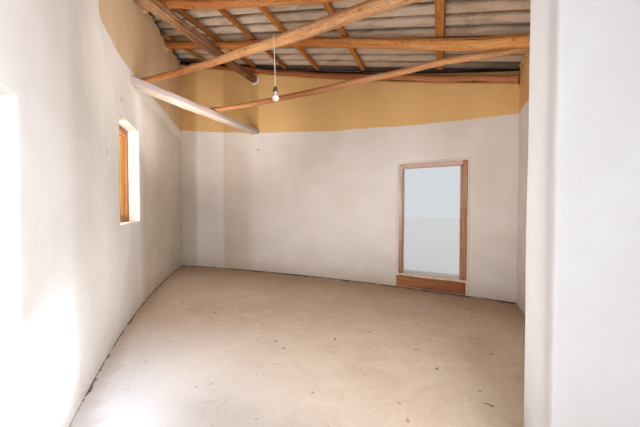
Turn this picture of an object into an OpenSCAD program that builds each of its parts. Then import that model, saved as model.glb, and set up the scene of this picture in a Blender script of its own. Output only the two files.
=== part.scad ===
// End room of a small whitewashed adobe house: thick walls, one of them
// splayed and gently curved, a low framed doorway and a timber window, under
// a lean-to roof of crooked poles, sawn battens and corrugated sheets.
// The origin is on the ground under the middle of the room. The back wall
// lies towards +Y, the low eave towards +X, and the front is open.

/* [Plan of the room] */
// Inner face of the right wall, from the origin
right_face = 2265; // [2000:5:2600]
// Inner corner of the back and left walls, to the left of the origin
corner_x = -2830; // [-3000:10:-2700]
// Inner corner of the back and left walls, behind the origin
corner_y = 1160; // [1100:10:1240]
// Far jamb of the doorway near the front of the left wall, across the room
near_jamb_x = 190; // [150:5:230]
// Far jamb of the doorway near the front of the left wall, along the room
near_jamb_y = -2038; // [-2080:5:-2000]
// How far the back wall bows outwards between its corners
back_bow = 200; // [150:5:230]
// How far the left wall bows outwards
left_bow = 160; // [120:5:200]
// Open front end of the room, in front of the origin
front_y = -2750; // [-2850:10:-2700]

/* [Walls] */
// Thickness of the adobe walls
wall_t = 400; // [350:10:450]
// Length of the pier that stands out of the right wall
pier_l = 410; // [350:10:460]
// Thickness of the pier
pier_t = 357; // [300:1:400]
// Front face of the pier, in front of the origin
pier_front = -1300; // [-1340:10:-1240]
// Thickness of the floor slab
floor_t = 100; // [80:5:120]

/* [Openings] */
// Clear width between the walls at the back doorway
door_w = 806; // [760:1:840]
// Distance of the back doorway from the right-hand corner
door_from_right = 491; // [450:1:520]
// Height of the back doorway above the ground
door_top = 1723; // [1700:1:1800]
// Height of the masonry sill of the back doorway
sill_top = 250; // [230:5:270]
// Width of the doorway in the left wall
near_door_w = 750; // [700:10:800]
// Height of the doorway in the left wall
near_door_top = 1530; // [1500:10:1600]
// Width of the window
window_w = 677; // [640:1:700]
// Distance of the window from the far corner
window_from_corner = 2165; // [2100:5:2200]
// Bottom of the window opening
window_foot = 1011; // [980:1:1040]
// Top of the window opening
window_top = 1955; // [1900:5:2000]
// Depth of the reveal in front of the window frame
reveal = 100; // [80:5:120]

/* [Roof] */
// Slope of the roof, down to the right
slope = 12; // [11:0.1:13]
// Height of the sheets' underside above the origin
bed_z = 3187; // [3150:1:3230]
// Wave pitch of the corrugated sheets
pitch = 177; // [177:1:177]
// Wave depth of the corrugated sheets
wave_h = 51; // [40:1:57]
// Thickness of the sheets
sheet_t = 8; // [6:1:10]
// Height of the battens
batten_h = 45; // [40:1:50]
// Overhang of the sheets past the right wall
eave = 150; // [100:10:250]

/* [Timbers in the room] */
// Thickness of the round timbers, as a share of the measured one
pole_scale = 1; // [0.9:0.01:1]
// Width of the white tie beam
tie_w = 150; // [120:5:190]
// Height of the white tie beam's section
tie_h = 71; // [60:1:80]
// Underside of the white tie beam
tie_z = 2361; // [2330:1:2400]

/* [Hidden] */

// Colours of the finishes
white_c = [0.93, 0.91, 0.88];
wall_c = [0.82, 0.77, 0.72];
floor_c = [0.74, 0.66, 0.56];
pole_c = [0.76, 0.52, 0.30];
old_c = [0.45, 0.33, 0.23];
batten_c = [0.66, 0.40, 0.22];
sheet_c = [0.60, 0.55, 0.49];
frame_c = [0.62, 0.37, 0.22];

// A length longer than the whole building, for cutting shapes
far = 12000;
// Height that masonry is built to before the roof cuts it
uncut_h = 5000;
// How far a cutting shape runs past the face that it cuts
past = 10;
// Degrees that a curved wall or a cutting shape runs on past a corner
run_on = 5;
// Where the back wall's masonry is divided, from the right-hand corner
back_right_half = 3074;
// Angle between two neighbouring points of a curved wall
step_a = 1;
// Clearance round a timber let into a wall
snug = 1;

// Centre and radius of the arc through two corners with a given bow, the
// room lying on the left of the line from the first corner to the second
function mid(a, b) = (a + b) / 2;
function arc_r(a, b, bow) = (norm(b - a) * norm(b - a) / 4 + bow * bow) / (2 * bow);
function arc_c(a, b, bow) =
    let (d = (b - a) / norm(b - a), r = arc_r(a, b, bow))
    mid(a, b) + [-d[1], d[0]] * (r - bow);
function ang(c, p) = let (a = atan2(p[1] - c[1], p[0] - c[0])) a < 0 ? a + 360 : a;
function on_arc(c, r, a) = c + r * [cos(a), sin(a)];
// Points of an arc from angle a to angle b
function arc_pts(c, r, a, b) =
    let (n = max(1, ceil(abs(b - a) / step_a)))
    [for (i = [0:n]) on_arc(c, r, a + (b - a) * i / n)];
// The same list, from its end to its start
function turned(v) = [for (i = [len(v) - 1:-1:0]) v[i]];
// Height of the sheets' bed over a place across the room
function bed(x) = bed_z - tan(slope) * x;

corner = [corner_x, corner_y];
right_corner = [right_face, corner_y + 30];
near_jamb = [near_jamb_x, near_jamb_y];

back_c = arc_c(right_corner, corner, back_bow);
back_r = arc_r(right_corner, corner, back_bow);
left_c = arc_c(corner, near_jamb, left_bow);
left_r = arc_r(corner, near_jamb, left_bow);

// Angles along the back wall, counted from its right-hand corner
back_deg = 180 / (PI * back_r);
back_right_corner_a = ang(back_c, right_corner);
back_left_corner_a = ang(back_c, corner);
door_right_a = back_right_corner_a + door_from_right * back_deg;
door_left_a = door_right_a + door_w * back_deg;
back_mid_a = back_right_corner_a + back_right_half * back_deg;
back_left_a = back_left_corner_a + run_on;
back_right_a = back_right_corner_a - run_on;

// Angles along the left wall, growing towards the front
left_deg = 180 / (PI * left_r);
left_corner_a = ang(left_c, corner);
left_far_a = left_corner_a - run_on;
window_far_a = left_corner_a + window_from_corner * left_deg;
window_near_a = window_far_a + window_w * left_deg;
near_door_far_a = ang(left_c, near_jamb);
near_door_near_a = near_door_far_a + near_door_w * left_deg;
left_near_a = near_door_near_a + run_on;

function left_face_y(x) = left_c[1] - sqrt(left_r * left_r - pow(x - left_c[0], 2));
function back_face_y(x) = back_c[1] + sqrt(back_r * back_r - pow(x - back_c[0], 2));

right_out = right_face + wall_t;

// A stretch of a curved wall between two angles
module sector(c, r, t, a, b, h) {
    linear_extrude(h)
        polygon(concat(arc_pts(c, r, a, b), turned(arc_pts(c, r + t, a, b))));
}

// Everything above the sheets' bed
module above_bed() {
    translate([0, 0, bed_z])
        rotate([0, slope, 0])
            translate([-far / 2, -far / 2, 0])
                cube([far, far, far]);
}

// Everything in front of the open front end
module past_front() {
    translate([-far / 2, front_y - far, -far / 2])
        cube([far, far, far]);
}

// Everything on the outer side of the back wall's inner face
module behind_back_face() {
    a = back_right_a - run_on;
    b = back_left_a + run_on;
    translate([0, 0, -past])
        linear_extrude(far)
            polygon(concat(
                arc_pts(back_c, back_r, a, b),
                [on_arc(back_c, back_r + far, b), on_arc(back_c, back_r + far, a)]
            ));
}

// Everything on the outer side of the left wall's face at a given depth
module outside_left(depth) {
    a = left_far_a - run_on;
    b = left_near_a + run_on;
    translate([0, 0, -past])
        linear_extrude(far)
            polygon(concat(
                arc_pts(left_c, left_r + depth, a, b),
                [on_arc(left_c, left_r + far, b), on_arc(left_c, left_r + far, a)]
            ));
}

// A round timber follows a route of points [x, y, z, radius], with smooth
// bends between them
ring_n = 12;
function smooth(a, b, c, d, t) =
    b + t / 2 * (c - a + t * (2 * a - 5 * b + 4 * c - d + t * (3 * b - a - 3 * c + d)));
function along(route, s) =
    let (
        last = len(route) - 1,
        i = min(floor(s * last), last - 1),
        a = route[max(i - 1, 0)],
        d = route[min(i + 2, last)]
    )
    smooth(a, route[i], route[i + 1], d, s * last - i);
function place(p) = [p[0], p[1], p[2]];
function heading(route, s) =
    let (d = place(along(route, min(s + 0.01, 1))) - place(along(route, max(s - 0.01, 0))))
    d / norm(d);
// Its cross-section is a little oval and three-cornered, turning along it
function lobes(angle, s) =
    1 - 0.03 * (1 + sin(2 * angle + 70 * s)) / 2 - 0.03 * (1 + cos(3 * angle - 110 * s)) / 2;
function timber_ring(route, s, extra, shift) =
    let (
        d = heading(route, s),
        u = [-d[1], d[0], 0] / norm([d[0], d[1]]),
        v = cross(d, u),
        p = along(route, s),
        c = place(p) + d * shift
    )
    [
        for (i = [0:ring_n - 1])
            let (angle = 360 * i / ring_n, r = p[3] * pole_scale * lobes(angle, s) + extra)
            c + r * (u * cos(angle) + v * sin(angle))
    ];
module tube(rings_of_points) {
    last = len(rings_of_points) - 1;
    n = len(rings_of_points[0]);
    walls = [
        for (j = [0:last - 1]) for (i = [0:n - 1])
            let (p = j * n + i, q = j * n + (i + 1) % n)
            each [[p, q + n, q], [p, p + n, q + n]]
    ];
    first = [[for (i = [0:n - 1]) i]];
    end = [[for (i = [n - 1:-1:0]) last * n + i]];
    polyhedron([for (ring = rings_of_points) each ring], concat(walls, first, end));
}
module timber(route, rings) {
    tube([for (j = [0:rings]) timber_ring(route, j / rings, 0, 0)]);
}

// The sockets that its first and its last end sit in, over a number of rings
module first_socket(route, rings, over) {
    tube([for (j = [0:over]) timber_ring(route, j / rings, snug, j == 0 ? -snug : 0)]);
}
module last_socket(route, rings, over) {
    tube([for (j = [rings - over:rings]) timber_ring(route, j / rings, snug, j == rings ? snug : 0)]);
}

// Roof poles run down the slope, 800 mm apart, from the left wall to the
// right. Each is given by places across the room, along it, and radii.
let_in = 180;
roof_poles = [
    [[0.2, -2590, 50], [0.4, -2570, 49], [0.6, -2600, 51], [0.8, -2620, 52]],
    [[0.2, -1850, 45], [0.45, -1905, 47], [0.7, -1890, 50], [0.85, -1850, 52]],
    [[0.15, -1075, 46], [0.35, -1030, 48], [0.6, -1020, 52], [0.8, -1065, 53]],
    [[0.15, -334, 46], [0.24, -272, 46], [0.5, -249, 48], [0.75, -262, 51]],
    [
        [0.2, 482, 49], [0.28, 524, 50], [0.38, 488, 51], [0.5, 455, 53],
        [0.65, 500, 55], [0.78, 548, 56], [0.87, 555, 56], [0.93, 515, 55]
    ]
];
function left_face_x(y) = left_c[0] - sqrt(left_r * left_r - pow(y - left_c[1], 2));
// A point of a pole lies under the battens at a share of the way across
function under_batten(x, y, r) = [x, y, bed(x) - batten_h - 2 - r / cos(slope), r];
function pole_route(i) =
    let (
        v = roof_poles[i],
        n = len(v) - 1,
        a = left_face_x(v[0][1]) - let_in,
        b = right_face + let_in
    )
    concat(
        [under_batten(a, v[0][1], v[0][2])],
        [for (p = v) under_batten(a + (b - a) * p[0], p[1], p[2])],
        [under_batten(b, v[n][1], v[n][2])]
    );
pole_rings = 24;
module roof_pole(i) {
    color(pole_c)
        timber(pole_route(i), pole_rings);
}

// Old beam under the roof poles, from the left wall to the back wall
old_route = [
    [-1262, -930, 3256, 72], [-1268, -560, 3252, 71], [-1276, -250, 3248, 68],
    [-1292, 190, 3241, 68], [-1306, 560, 3240, 60], [-1324, 900, 3244, 58],
    [-1341, 1330, 3246, 63], [-1349, 1560, 3246, 64]
];
old_rings = 21;
module old_beam() {
    color(old_c)
        timber(old_route, old_rings);
}

// White tie beam, a flat plank across the corner between the two walls
tie_x = -1405;
tie_let_in = 150;
module tie_plank(extra) {
    y0 = left_face_y(tie_x) - tie_let_in;
    translate([tie_x - extra, y0, tie_z - extra])
        cube([tie_w + 2 * extra, back_face_y(tie_x) + tie_let_in - y0, tie_h + 2 * extra]);
}
module white_tie_beam() {
    color(white_c)
        tie_plank(0);
}

// Tie poles, from the white tie beam to the right wall
tie_top = tie_z + tie_h;
tie_front_route = [
    [tie_x + 35, -560, tie_top + 30, 25], [-1072, -560, 2447, 28], [-796, -560, 2444, 31],
    [-541, -560, 2450, 32], [-305, -560, 2455, 34], [19, -560, 2476, 38], [401, -560, 2486, 45],
    [736, -560, 2510, 47], [1033, -560, 2532, 48], [1400, -562, 2545, 49],
    [right_face, -570, 2580, 52], [right_face + tie_let_in, -570, 2585, 52]
];
tie_back_route = [
    [tie_x + 60, 388, tie_top + 29, 26], [-1100, 421, 2462, 28], [-914, 447, 2467, 30],
    [-357, 524, 2509, 33], [154, 594, 2552, 34], [626, 659, 2610, 34], [1063, 720, 2645, 34],
    [1468, 775, 2696, 35], [1846, 827, 2714, 36], [right_face, 885, 2730, 35],
    [right_face + tie_let_in, 905, 2733, 35]
];
tie_rings = 24;
module tie_pole_front() {
    color(pole_c)
        timber(tie_front_route, tie_rings);
}
module tie_pole_back() {
    color(pole_c)
        timber(tie_back_route, tie_rings);
}

// Masonry of the left wall, up to the sheets
module left_wall(a, b, z0, z1) {
    color(white_c)
        difference() {
            translate([0, 0, z0])
                sector(left_c, left_r, wall_t, a, b, z1 - z0);
            above_bed();
            behind_back_face();
            past_front();
            for (i = [0:len(roof_poles) - 1])
                first_socket(pole_route(i), pole_rings, 4);
            first_socket(old_route, old_rings, 6);
            tie_plank(snug);
        }
}
module left_wall_near_jamb() { left_wall(near_door_near_a, left_near_a, 0, uncut_h); }
module left_wall_over_door() { left_wall(near_door_far_a, near_door_near_a, near_door_top, uncut_h); }
module left_wall_middle() { left_wall(window_near_a, near_door_far_a, 0, uncut_h); }
module left_wall_under_window() { left_wall(window_far_a, window_near_a, 0, window_foot); }
module left_wall_over_window() { left_wall(window_far_a, window_near_a, window_top, uncut_h); }
module left_wall_far() { left_wall(left_far_a, window_far_a, 0, uncut_h); }

// Ledge cut along the inner top edge of the back wall, for its pole. It drops
// a little faster than the roof does.
ledge_d = 150;
ledge_z = 3028;
ledge_slope = 13.24;
function ledge_at(x) = ledge_z - tan(ledge_slope) * x;
module above_ledge() {
    translate([0, 0, ledge_z])
        rotate([0, ledge_slope, 0])
            translate([-far / 2, -far / 2, 0])
                cube([far, far, far]);
}
module back_wall(a, b, z0, z1) {
    color(wall_c)
        difference() {
            translate([0, 0, z0])
                sector(back_c, back_r, wall_t, a, b, z1 - z0);
            above_bed();
            outside_left(wall_t);
            translate([right_out, -far / 2, -far / 2])
                cube([far, far, far]);
            intersection() {
                sector(back_c, back_r - past, ledge_d + past, a - run_on, b + run_on, uncut_h);
                above_ledge();
            }
            last_socket(old_route, old_rings, 4);
            tie_plank(snug);
        }
}
module back_wall_left() { back_wall(back_mid_a, back_left_a, 0, uncut_h); }
module back_wall_middle() { back_wall(door_left_a, back_mid_a, 0, uncut_h); }
module back_wall_over_door() { back_wall(door_right_a, door_left_a, door_top, uncut_h); }
module back_wall_right() { back_wall(back_right_a, door_right_a, 0, uncut_h); }

// Pole lying on the ledge along the curved back wall, given by places across
// the room, how high it lies above the ledge, how far its centre lies behind
// the wall's face, and radii
wall_pole_at = [
    [-2620, 12, 20, 38], [-2325, 18, 20, 40], [-1920, 4, 18, 41], [-1526, 34, 16, 42],
    [-1054, 6, 17, 42], [-572, 20, 16, 42], [-185, 12, 16, 42], [285, 20, 16, 41],
    [716, 32, 18, 38], [982, 33, 18, 38], [1466, 10, 6, 44], [1685, 24, 4, 40],
    [1891, 32, 2, 36], [2084, 14, 0, 40], [2255, 16, 0, 42]
];
wall_pole_route = [
    for (p = wall_pole_at)
        [p[0], back_face_y(p[0]) + p[2], ledge_at(p[0]) + p[1] + p[3], p[3]]
];
module wall_pole() {
    color(pole_c)
        timber(wall_pole_route, 42);
}

// Right wall, under the eave
module right_wall() {
    color(wall_c)
        difference() {
            translate([right_face, front_y, 0])
                cube([wall_t, corner_y + wall_t - front_y, uncut_h]);
            above_bed();
            behind_back_face();
            for (i = [0:len(roof_poles) - 1])
                last_socket(pole_route(i), pole_rings, 3);
            last_socket(tie_front_route, tie_rings, 3);
            last_socket(tie_back_route, tie_rings, 3);
        }
}

// Pier standing out of the right wall
pier_x = right_face - pier_l;
module front_pier() {
    color(white_c)
        difference() {
            translate([pier_x, pier_front, 0])
                cube([pier_l, pier_t, uncut_h]);
            above_bed();
            last_socket(pole_route(2), pole_rings, 4);
        }
}

// Floor slab between the walls, and through the doorway of the left wall
module floor_slab() {
    color(floor_c)
        difference() {
            union() {
                linear_extrude(floor_t)
                    polygon(concat(
                        arc_pts(back_c, back_r, back_right_corner_a, back_left_corner_a),
                        arc_pts(left_c, left_r, left_corner_a, left_near_a),
                        [[right_face, on_arc(left_c, left_r, left_near_a)[1]]]
                    ));
                sector(left_c, left_r - past, wall_t + past, near_door_far_a, near_door_near_a, floor_t);
            }
            past_front();
            translate([pier_x, pier_front, -past])
                cube([far, pier_t, far]);
        }
}

// Masonry sill under the back doorway, with its timber board and worn ledge
board_t = 28;
board_proud = 10;
board_foot = floor_t + 22;
ledge_t = 28;
frame_d = 90;
module doorway_sill() {
    color(wall_c)
        difference() {
            sector(back_c, back_r, wall_t, door_right_a, door_left_a, sill_top);
            translate([0, 0, board_foot])
                sector(back_c, back_r - board_proud, board_t,
                    door_right_a - run_on, door_left_a + run_on, far);
        }
}
module threshold_board() {
    color(frame_c)
        translate([0, 0, board_foot])
            sector(back_c, back_r - board_proud, board_t, door_right_a, door_left_a, sill_top - board_foot);
}
module threshold_ledge() {
    color(wall_c)
        translate([0, 0, sill_top])
            sector(back_c, back_r - proud - 2, frame_d + proud + 2, door_right_a, door_left_a, ledge_t);
}

// Timber frame of the back doorway, flush with the plaster. The right jamb has
// a stop set back from its face.
jamb_w = 46;
stop_w = 34;
stop_back = 30;
head_h = 56;
proud = 4;
module door_part(a, b, z0, z1, back = -proud) {
    color(frame_c)
        translate([0, 0, z0])
            sector(back_c, back_r + back, frame_d - back, a, b, z1 - z0);
}
door_foot = sill_top + ledge_t;
jamb_left_a = door_left_a - jamb_w * back_deg;
jamb_right_a = door_right_a + jamb_w * back_deg;
module door_jamb_left() {
    door_part(jamb_left_a, door_left_a, door_foot, door_top);
}
module door_jamb_right() {
    door_part(door_right_a, jamb_right_a, door_foot, door_top);
    door_part(jamb_right_a, jamb_right_a + stop_w * back_deg, door_foot, door_top - head_h, stop_back);
}
module door_head() {
    door_part(jamb_right_a, jamb_left_a, door_top - head_h, door_top);
}

// Window frame and its plank shutter
win_member = 50;
win_d = 60;
shutter_t = 25;
shutter_back = 20;
shutter_gap = 12;
module window_frame() {
    color(frame_c)
        difference() {
            translate([0, 0, window_foot])
                sector(left_c, left_r + reveal, win_d, window_far_a, window_near_a, window_top - window_foot);
            translate([0, 0, window_foot + win_member])
                sector(left_c, left_r + reveal - past, win_d + 2 * past,
                    window_far_a + win_member * left_deg, window_near_a - win_member * left_deg,
                    window_top - window_foot - 2 * win_member);
        }
}
module window_shutter() {
    color(batten_c)
        translate([0, 0, window_foot + win_member])
            sector(left_c, left_r + reveal + shutter_back, shutter_t,
                window_far_a + win_member * left_deg, window_near_a - (win_member + shutter_gap) * left_deg,
                window_top - window_foot - 2 * win_member - shutter_gap);
}

// Battens on the poles, across the slope
batten_xs = [-2200, -1315, -735, -200, 500, 1474];
batten_ws = [50, 55, 50, 50, 55, 75];
// How far their ends stay off the walls
batten_off_left = 20;
batten_off_back = 45;
module batten(i) {
    x = batten_xs[i];
    y0 = max(front_y, left_face_y(x) + batten_off_left);
    y1 = back_face_y(x) - batten_off_back;
    color(batten_c)
        translate([x, y0, bed(x)])
            rotate([0, slope, 0])
                translate([-batten_ws[i] / 2, 0, -batten_h])
                    cube([batten_ws[i], y1 - y0, batten_h]);
}

// Corrugated sheets, in rows side by side, each row from eave to left wall
row_w = 6 * pitch;
row_y = 424;
lap_x = 150;
wave_n = 8;
tilt = asin(sheet_t / row_w);
function wave(u) = wave_h / 2 * (1 - cos(360 * u / pitch));
module sheet(len_x, waves) {
    n = round(waves * wave_n);
    low = [for (i = [0:n]) let (u = i * pitch / wave_n) [u, wave(u)]];
    high = [for (i = [n:-1:0]) let (u = i * pitch / wave_n) [u, wave(u) + sheet_t]];
    rotate([90, 0, 90])
        linear_extrude(len_x)
            polygon(concat(low, high));
}
module sheet_at(x0, x1, y0, waves, lift) {
    translate([x0, y0, bed(x0) + lift])
        rotate([0, slope, 0])
            rotate([tilt, 0, 0])
                sheet((x1 - x0) / cos(slope), waves);
}
// Gap left between two lapped sheets, and overhang past the left wall
lap_gap = 2;
verge = 80;
sheet_ends = [right_out + eave, batten_xs[4] - lap_x / 2, batten_xs[0] - lap_x / 2, -far / 2];
module sheet_row(k, waves) {
    color(sheet_c)
        difference() {
            for (j = [0:2])
                sheet_at(sheet_ends[j + 1], sheet_ends[j] + (j > 0 ? lap_x : 0), row_y + k * row_w,
                    waves, j * (sheet_t + lap_gap));
            outside_left(wall_t + verge);
        }
}

// Pendant lamp. Its flex passes over the front tie pole and hangs down.
flex_r = 3;
flex_n = 8;
flex_rings = 44;
flex_route = [
    [276, -512, 2478], [277, -522, 2512], [278, -558, 2530], [279, -594, 2515],
    [280, -609, 2480], [283, -607, 2440], [286, -606, 2380], [289, -606, 2311],
    [291, -606, 2240], [293, -606, 2170], [295, -606, 2103]
];
module lamp_flex() {
    route = [for (p = flex_route) concat(p, [flex_r])];
    color("white")
        tube([
            for (j = [0:flex_rings])
                let (
                    d = heading(route, j / flex_rings),
                    u = cross(d, [1, 0, 0]) / norm(cross(d, [1, 0, 0])),
                    v = cross(d, u),
                    c = place(along(route, j / flex_rings))
                )
                [
                    for (i = [0:flex_n - 1])
                        let (angle = 360 * i / flex_n)
                        c + flex_r * (u * cos(angle) + v * sin(angle))
                ]
        ]);
}
holder_h = 42;
bulb_h = 72;
flex_end = flex_route[len(flex_route) - 1];
module lamp_holder() {
    color([0.1, 0.1, 0.1])
        translate(flex_end - [0, 0, holder_h])
            rotate_extrude($fn = 32)
                polygon([
                    [0, 0], [19, 0], [20, 4], [20, 16], [16, 22],
                    [12, 26], [9, 38], [6, holder_h], [0, holder_h]
                ]);
}
module lamp_bulb() {
    color([0.95, 0.93, 0.88])
        translate(flex_end - [0, 0, holder_h + bulb_h])
            rotate_extrude($fn = 32)
                polygon([
                    [0, 0], [12, 2], [21, 8], [27, 18], [29, 29], [27, 40],
                    [20, 53], [14, 62], [13, bulb_h], [0, bulb_h]
                ]);
}

floor_slab();
left_wall_near_jamb();
left_wall_over_door();
left_wall_middle();
left_wall_under_window();
left_wall_over_window();
left_wall_far();
back_wall_left();
back_wall_middle();
back_wall_over_door();
back_wall_right();
right_wall();
front_pier();
doorway_sill();
threshold_board();
threshold_ledge();
door_jamb_left();
door_jamb_right();
door_head();
window_frame();
window_shutter();
white_tie_beam();
old_beam();
tie_pole_front();
tie_pole_back();
roof_pole(0);  // roof_pole_1
roof_pole(1);  // roof_pole_2
roof_pole(2);  // roof_pole_3
roof_pole(3);  // roof_pole_4
roof_pole(4);  // roof_pole_5
wall_pole();
batten(0);  // batten_1
batten(1);  // batten_2
batten(2);  // batten_3
batten(3);  // batten_4
batten(4);  // batten_5
batten(5);  // batten_6
sheet_row(-3, 6.5);  // roof_sheets_1
sheet_row(-2, 6.5);  // roof_sheets_2
sheet_row(-1, 6.5);  // roof_sheets_3
sheet_row(0, 6.5);  // roof_sheets_4
sheet_row(1, 2.5);  // roof_sheets_5
lamp_flex();
lamp_holder();
lamp_bulb();
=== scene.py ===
import math

import bmesh
import bpy
import numpy as np
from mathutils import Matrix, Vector, noise


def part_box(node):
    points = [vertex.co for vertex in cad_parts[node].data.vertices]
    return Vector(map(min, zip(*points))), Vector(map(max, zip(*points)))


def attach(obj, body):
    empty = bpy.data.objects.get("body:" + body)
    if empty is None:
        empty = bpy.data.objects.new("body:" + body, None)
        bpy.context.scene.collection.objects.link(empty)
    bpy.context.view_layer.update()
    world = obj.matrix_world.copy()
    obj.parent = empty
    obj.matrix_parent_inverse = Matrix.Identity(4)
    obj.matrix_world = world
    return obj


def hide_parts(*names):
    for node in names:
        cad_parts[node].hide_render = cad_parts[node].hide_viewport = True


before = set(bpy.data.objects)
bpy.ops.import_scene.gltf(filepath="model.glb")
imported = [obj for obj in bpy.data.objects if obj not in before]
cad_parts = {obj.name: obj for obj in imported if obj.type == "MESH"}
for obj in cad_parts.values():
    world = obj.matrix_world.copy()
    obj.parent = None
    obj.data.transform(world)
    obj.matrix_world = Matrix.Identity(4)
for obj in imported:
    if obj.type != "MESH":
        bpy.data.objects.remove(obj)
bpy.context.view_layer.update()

# Camera. It stands in the open front of the room, near the right wall, at the
# height of a seated person's eyes, and looks across at the back doorway.
lens = bpy.data.cameras.new("camera")
lens.lens, lens.sensor_width = 15.75, 36
camera = bpy.data.objects.new("camera", lens)
camera.location = (1.5, -2.5, 1.16)
camera.rotation_euler = (math.radians(88.67), 0, math.radians(23.5))
bpy.context.collection.objects.link(camera)
bpy.context.scene.camera = camera


# Pendant lamp. Two insulated cores twisted together pass over the front tie
# pole and hang down to a black moulded lamp holder with a clear glass bulb.
flex_points = [
    (0.276, -0.512, 2.478), (0.277, -0.522, 2.512), (0.278, -0.558, 2.530), (0.279, -0.594, 2.515),
    (0.280, -0.609, 2.480), (0.283, -0.607, 2.440), (0.286, -0.606, 2.380), (0.289, -0.606, 2.311),
    (0.291, -0.606, 2.240), (0.293, -0.606, 2.170), (0.295, -0.606, 2.103)
]
core_r = 0.0015
twist_pitch = 0.024


def smooth_route(points, count):
    """Points along the smooth line that the CAD draws through the given ones."""
    p = np.array(points, float)
    last = len(p) - 1
    out = []
    for s in np.linspace(0, last, count):
        i = min(int(s), last - 1)
        t = s - i
        a, b, c, d = p[max(i - 1, 0)], p[i], p[i + 1], p[min(i + 2, last)]
        out.append(b + t / 2 * (c - a + t * (2 * a - 5 * b + 4 * c - d + t * (3 * b - a - 3 * c + d))))
    return np.array(out)


def directions(path, level):
    """The way along a path, and two ways across it: one of them level, or both without twist."""
    ahead = np.gradient(path, axis=0)
    ahead /= np.linalg.norm(ahead, axis=1)[:, None]
    side = np.cross((0, 0, 1.0), ahead) if level else np.cross((1.0, 0, 0), ahead)
    side /= np.linalg.norm(side, axis=1)[:, None]
    return ahead, side, np.cross(ahead, side)


def tube(path, r, side, up, sides):
    """Rings of points round a path, from two ways across it."""
    around = np.linspace(0, 2 * math.pi, sides, endpoint=False)[None, :, None]
    return path[:, None, :] + r * (side[:, None, :] * np.cos(around) + up[:, None, :] * np.sin(around))


def piece(name, mesh, material=None):
    """Puts a finished mesh into the house, with smooth shading."""
    obj = bpy.data.objects.new(name, mesh)
    bpy.context.collection.objects.link(obj)
    mesh.shade_smooth()
    if material:
        mesh.materials.append(material)
    return obj


def outwards(mesh, merge=False):
    """Turns a mesh's faces outwards. With merge, points that meet become one."""
    bm = bmesh.new()
    bm.from_mesh(mesh)
    if merge:
        bmesh.ops.remove_doubles(bm, verts=bm.verts, dist=1e-6)
    bmesh.ops.recalc_face_normals(bm, faces=bm.faces)
    bm.to_mesh(mesh)
    bm.free()


def loft(name, rings, material=None, merge=False):
    """A closed skin over rings of points, with its two ends capped."""
    rings = np.asarray(rings)
    n, m = rings.shape[:2]
    faces = [
        (i * m + j, i * m + (j + 1) % m, (i + 1) * m + (j + 1) % m, (i + 1) * m + j)
        for i in range(n - 1) for j in range(m)
    ]
    faces += [tuple(range(m))[::-1], tuple((n - 1) * m + j for j in range(m))]
    mesh = bpy.data.meshes.new(name)
    mesh.from_pydata(rings.reshape(-1, 3).tolist(), [], faces)
    if merge:
        outwards(mesh, merge=True)
    return piece(name, mesh, material)


def turned(name, profile, centre, sides, flutes=None, material=None):
    """A turned shape: profile gives radii and heights upwards, closed where a radius is nought."""
    turn = np.linspace(0, 2 * math.pi, sides, endpoint=False)
    rings = []
    for r, z in profile:
        rr = r * (flutes(turn, z) if flutes else np.ones(sides))
        rings.append(np.stack([centre[0] + rr * np.cos(turn), centre[1] + rr * np.sin(turn),
            np.full(sides, centre[2] + z)], 1))
    return loft(name, rings, material, merge=True)


def shade(r, g, b):
    """A colour as it is read off a paint card, 0 to 255, for a shader."""
    linear = lambda c: c / 255 / 12.92 if c <= 10 else ((c / 255 + 0.055) / 1.055) ** 2.4
    return linear(r), linear(g), linear(b), 1.0


def adder(tree, family="ShaderNode"):
    """Adds a node to a tree with its settings, its values and its links in one call."""
    def add(kind, values=None, **settings):
        node = tree.nodes.new(family + kind)
        for key, value in settings.items():
            setattr(node, key, value)
        for key, value in (values or {}).items():
            if isinstance(value, bpy.types.NodeSocket):
                tree.links.new(value, node.inputs[key])
            else:
                node.inputs[key].default_value = value
        return node
    return add


def new_material(name, **plain):
    """A material with the plain values of its shader set, its node adder and its shader."""
    material = bpy.data.materials.new(name)
    material.use_nodes = True
    shader = material.node_tree.nodes["Principled BSDF"]
    for key, value in plain.items():
        shader.inputs[key.replace("_", " ")].default_value = value
    return material, adder(material.node_tree), shader


def feed(material, shader, **sockets):
    """Links outputs to the shader's inputs, and a height to its bump."""
    links = material.node_tree.links
    for key, value in sockets.items():
        if key == "Height":
            bump = material.node_tree.nodes.new("ShaderNodeBump")
            links.new(value[0], bump.inputs["Height"])
            bump.inputs["Strength"].default_value, bump.inputs["Distance"].default_value = value[1:]
            links.new(bump.outputs["Normal"], shader.inputs["Normal"])
        else:
            links.new(value, shader.inputs[key.replace("_", " ")])


def ramp(add, fac, *stops):
    """A colour ramp from stops of (place, colour or grey)."""
    node = add("ValToRGB", {"Fac": fac})
    elements = node.color_ramp.elements
    while len(elements) < len(stops):
        elements.new(0.5)
    for element, (place, colour) in zip(elements, stops):
        element.position = place
        element.color = colour if isinstance(colour, tuple) else (colour, colour, colour, 1)
    return node.outputs["Color"]


def cloudy(add, where, scale, detail=2.0, rough=0.5, warp=0.0):
    """Soft patches of a size, as a share that changes over a surface."""
    return add("TexNoise", {"Vector": where, "Scale": scale, "Detail": detail, "Roughness": rough,
        "Distortion": warp}).outputs["Fac"]


def speckled(name, scale, colours, detail=2.0, rough=0.5, worn=None, bump=None, **plain):
    """A material of one stuff: spots of a size set its colour, and its roughness and bump where given."""
    material, add, shader = new_material(name, **plain)
    spots = cloudy(add, add("TexCoord").outputs["Object"], scale, detail, rough)
    sockets = {"Base_Color": ramp(add, spots, *colours)}
    if worn:
        sockets["Roughness"] = ramp(add, spots, *worn)
    if bump:
        sockets["Height"] = (spots, *bump)
    feed(material, shader, **sockets)
    return material


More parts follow.
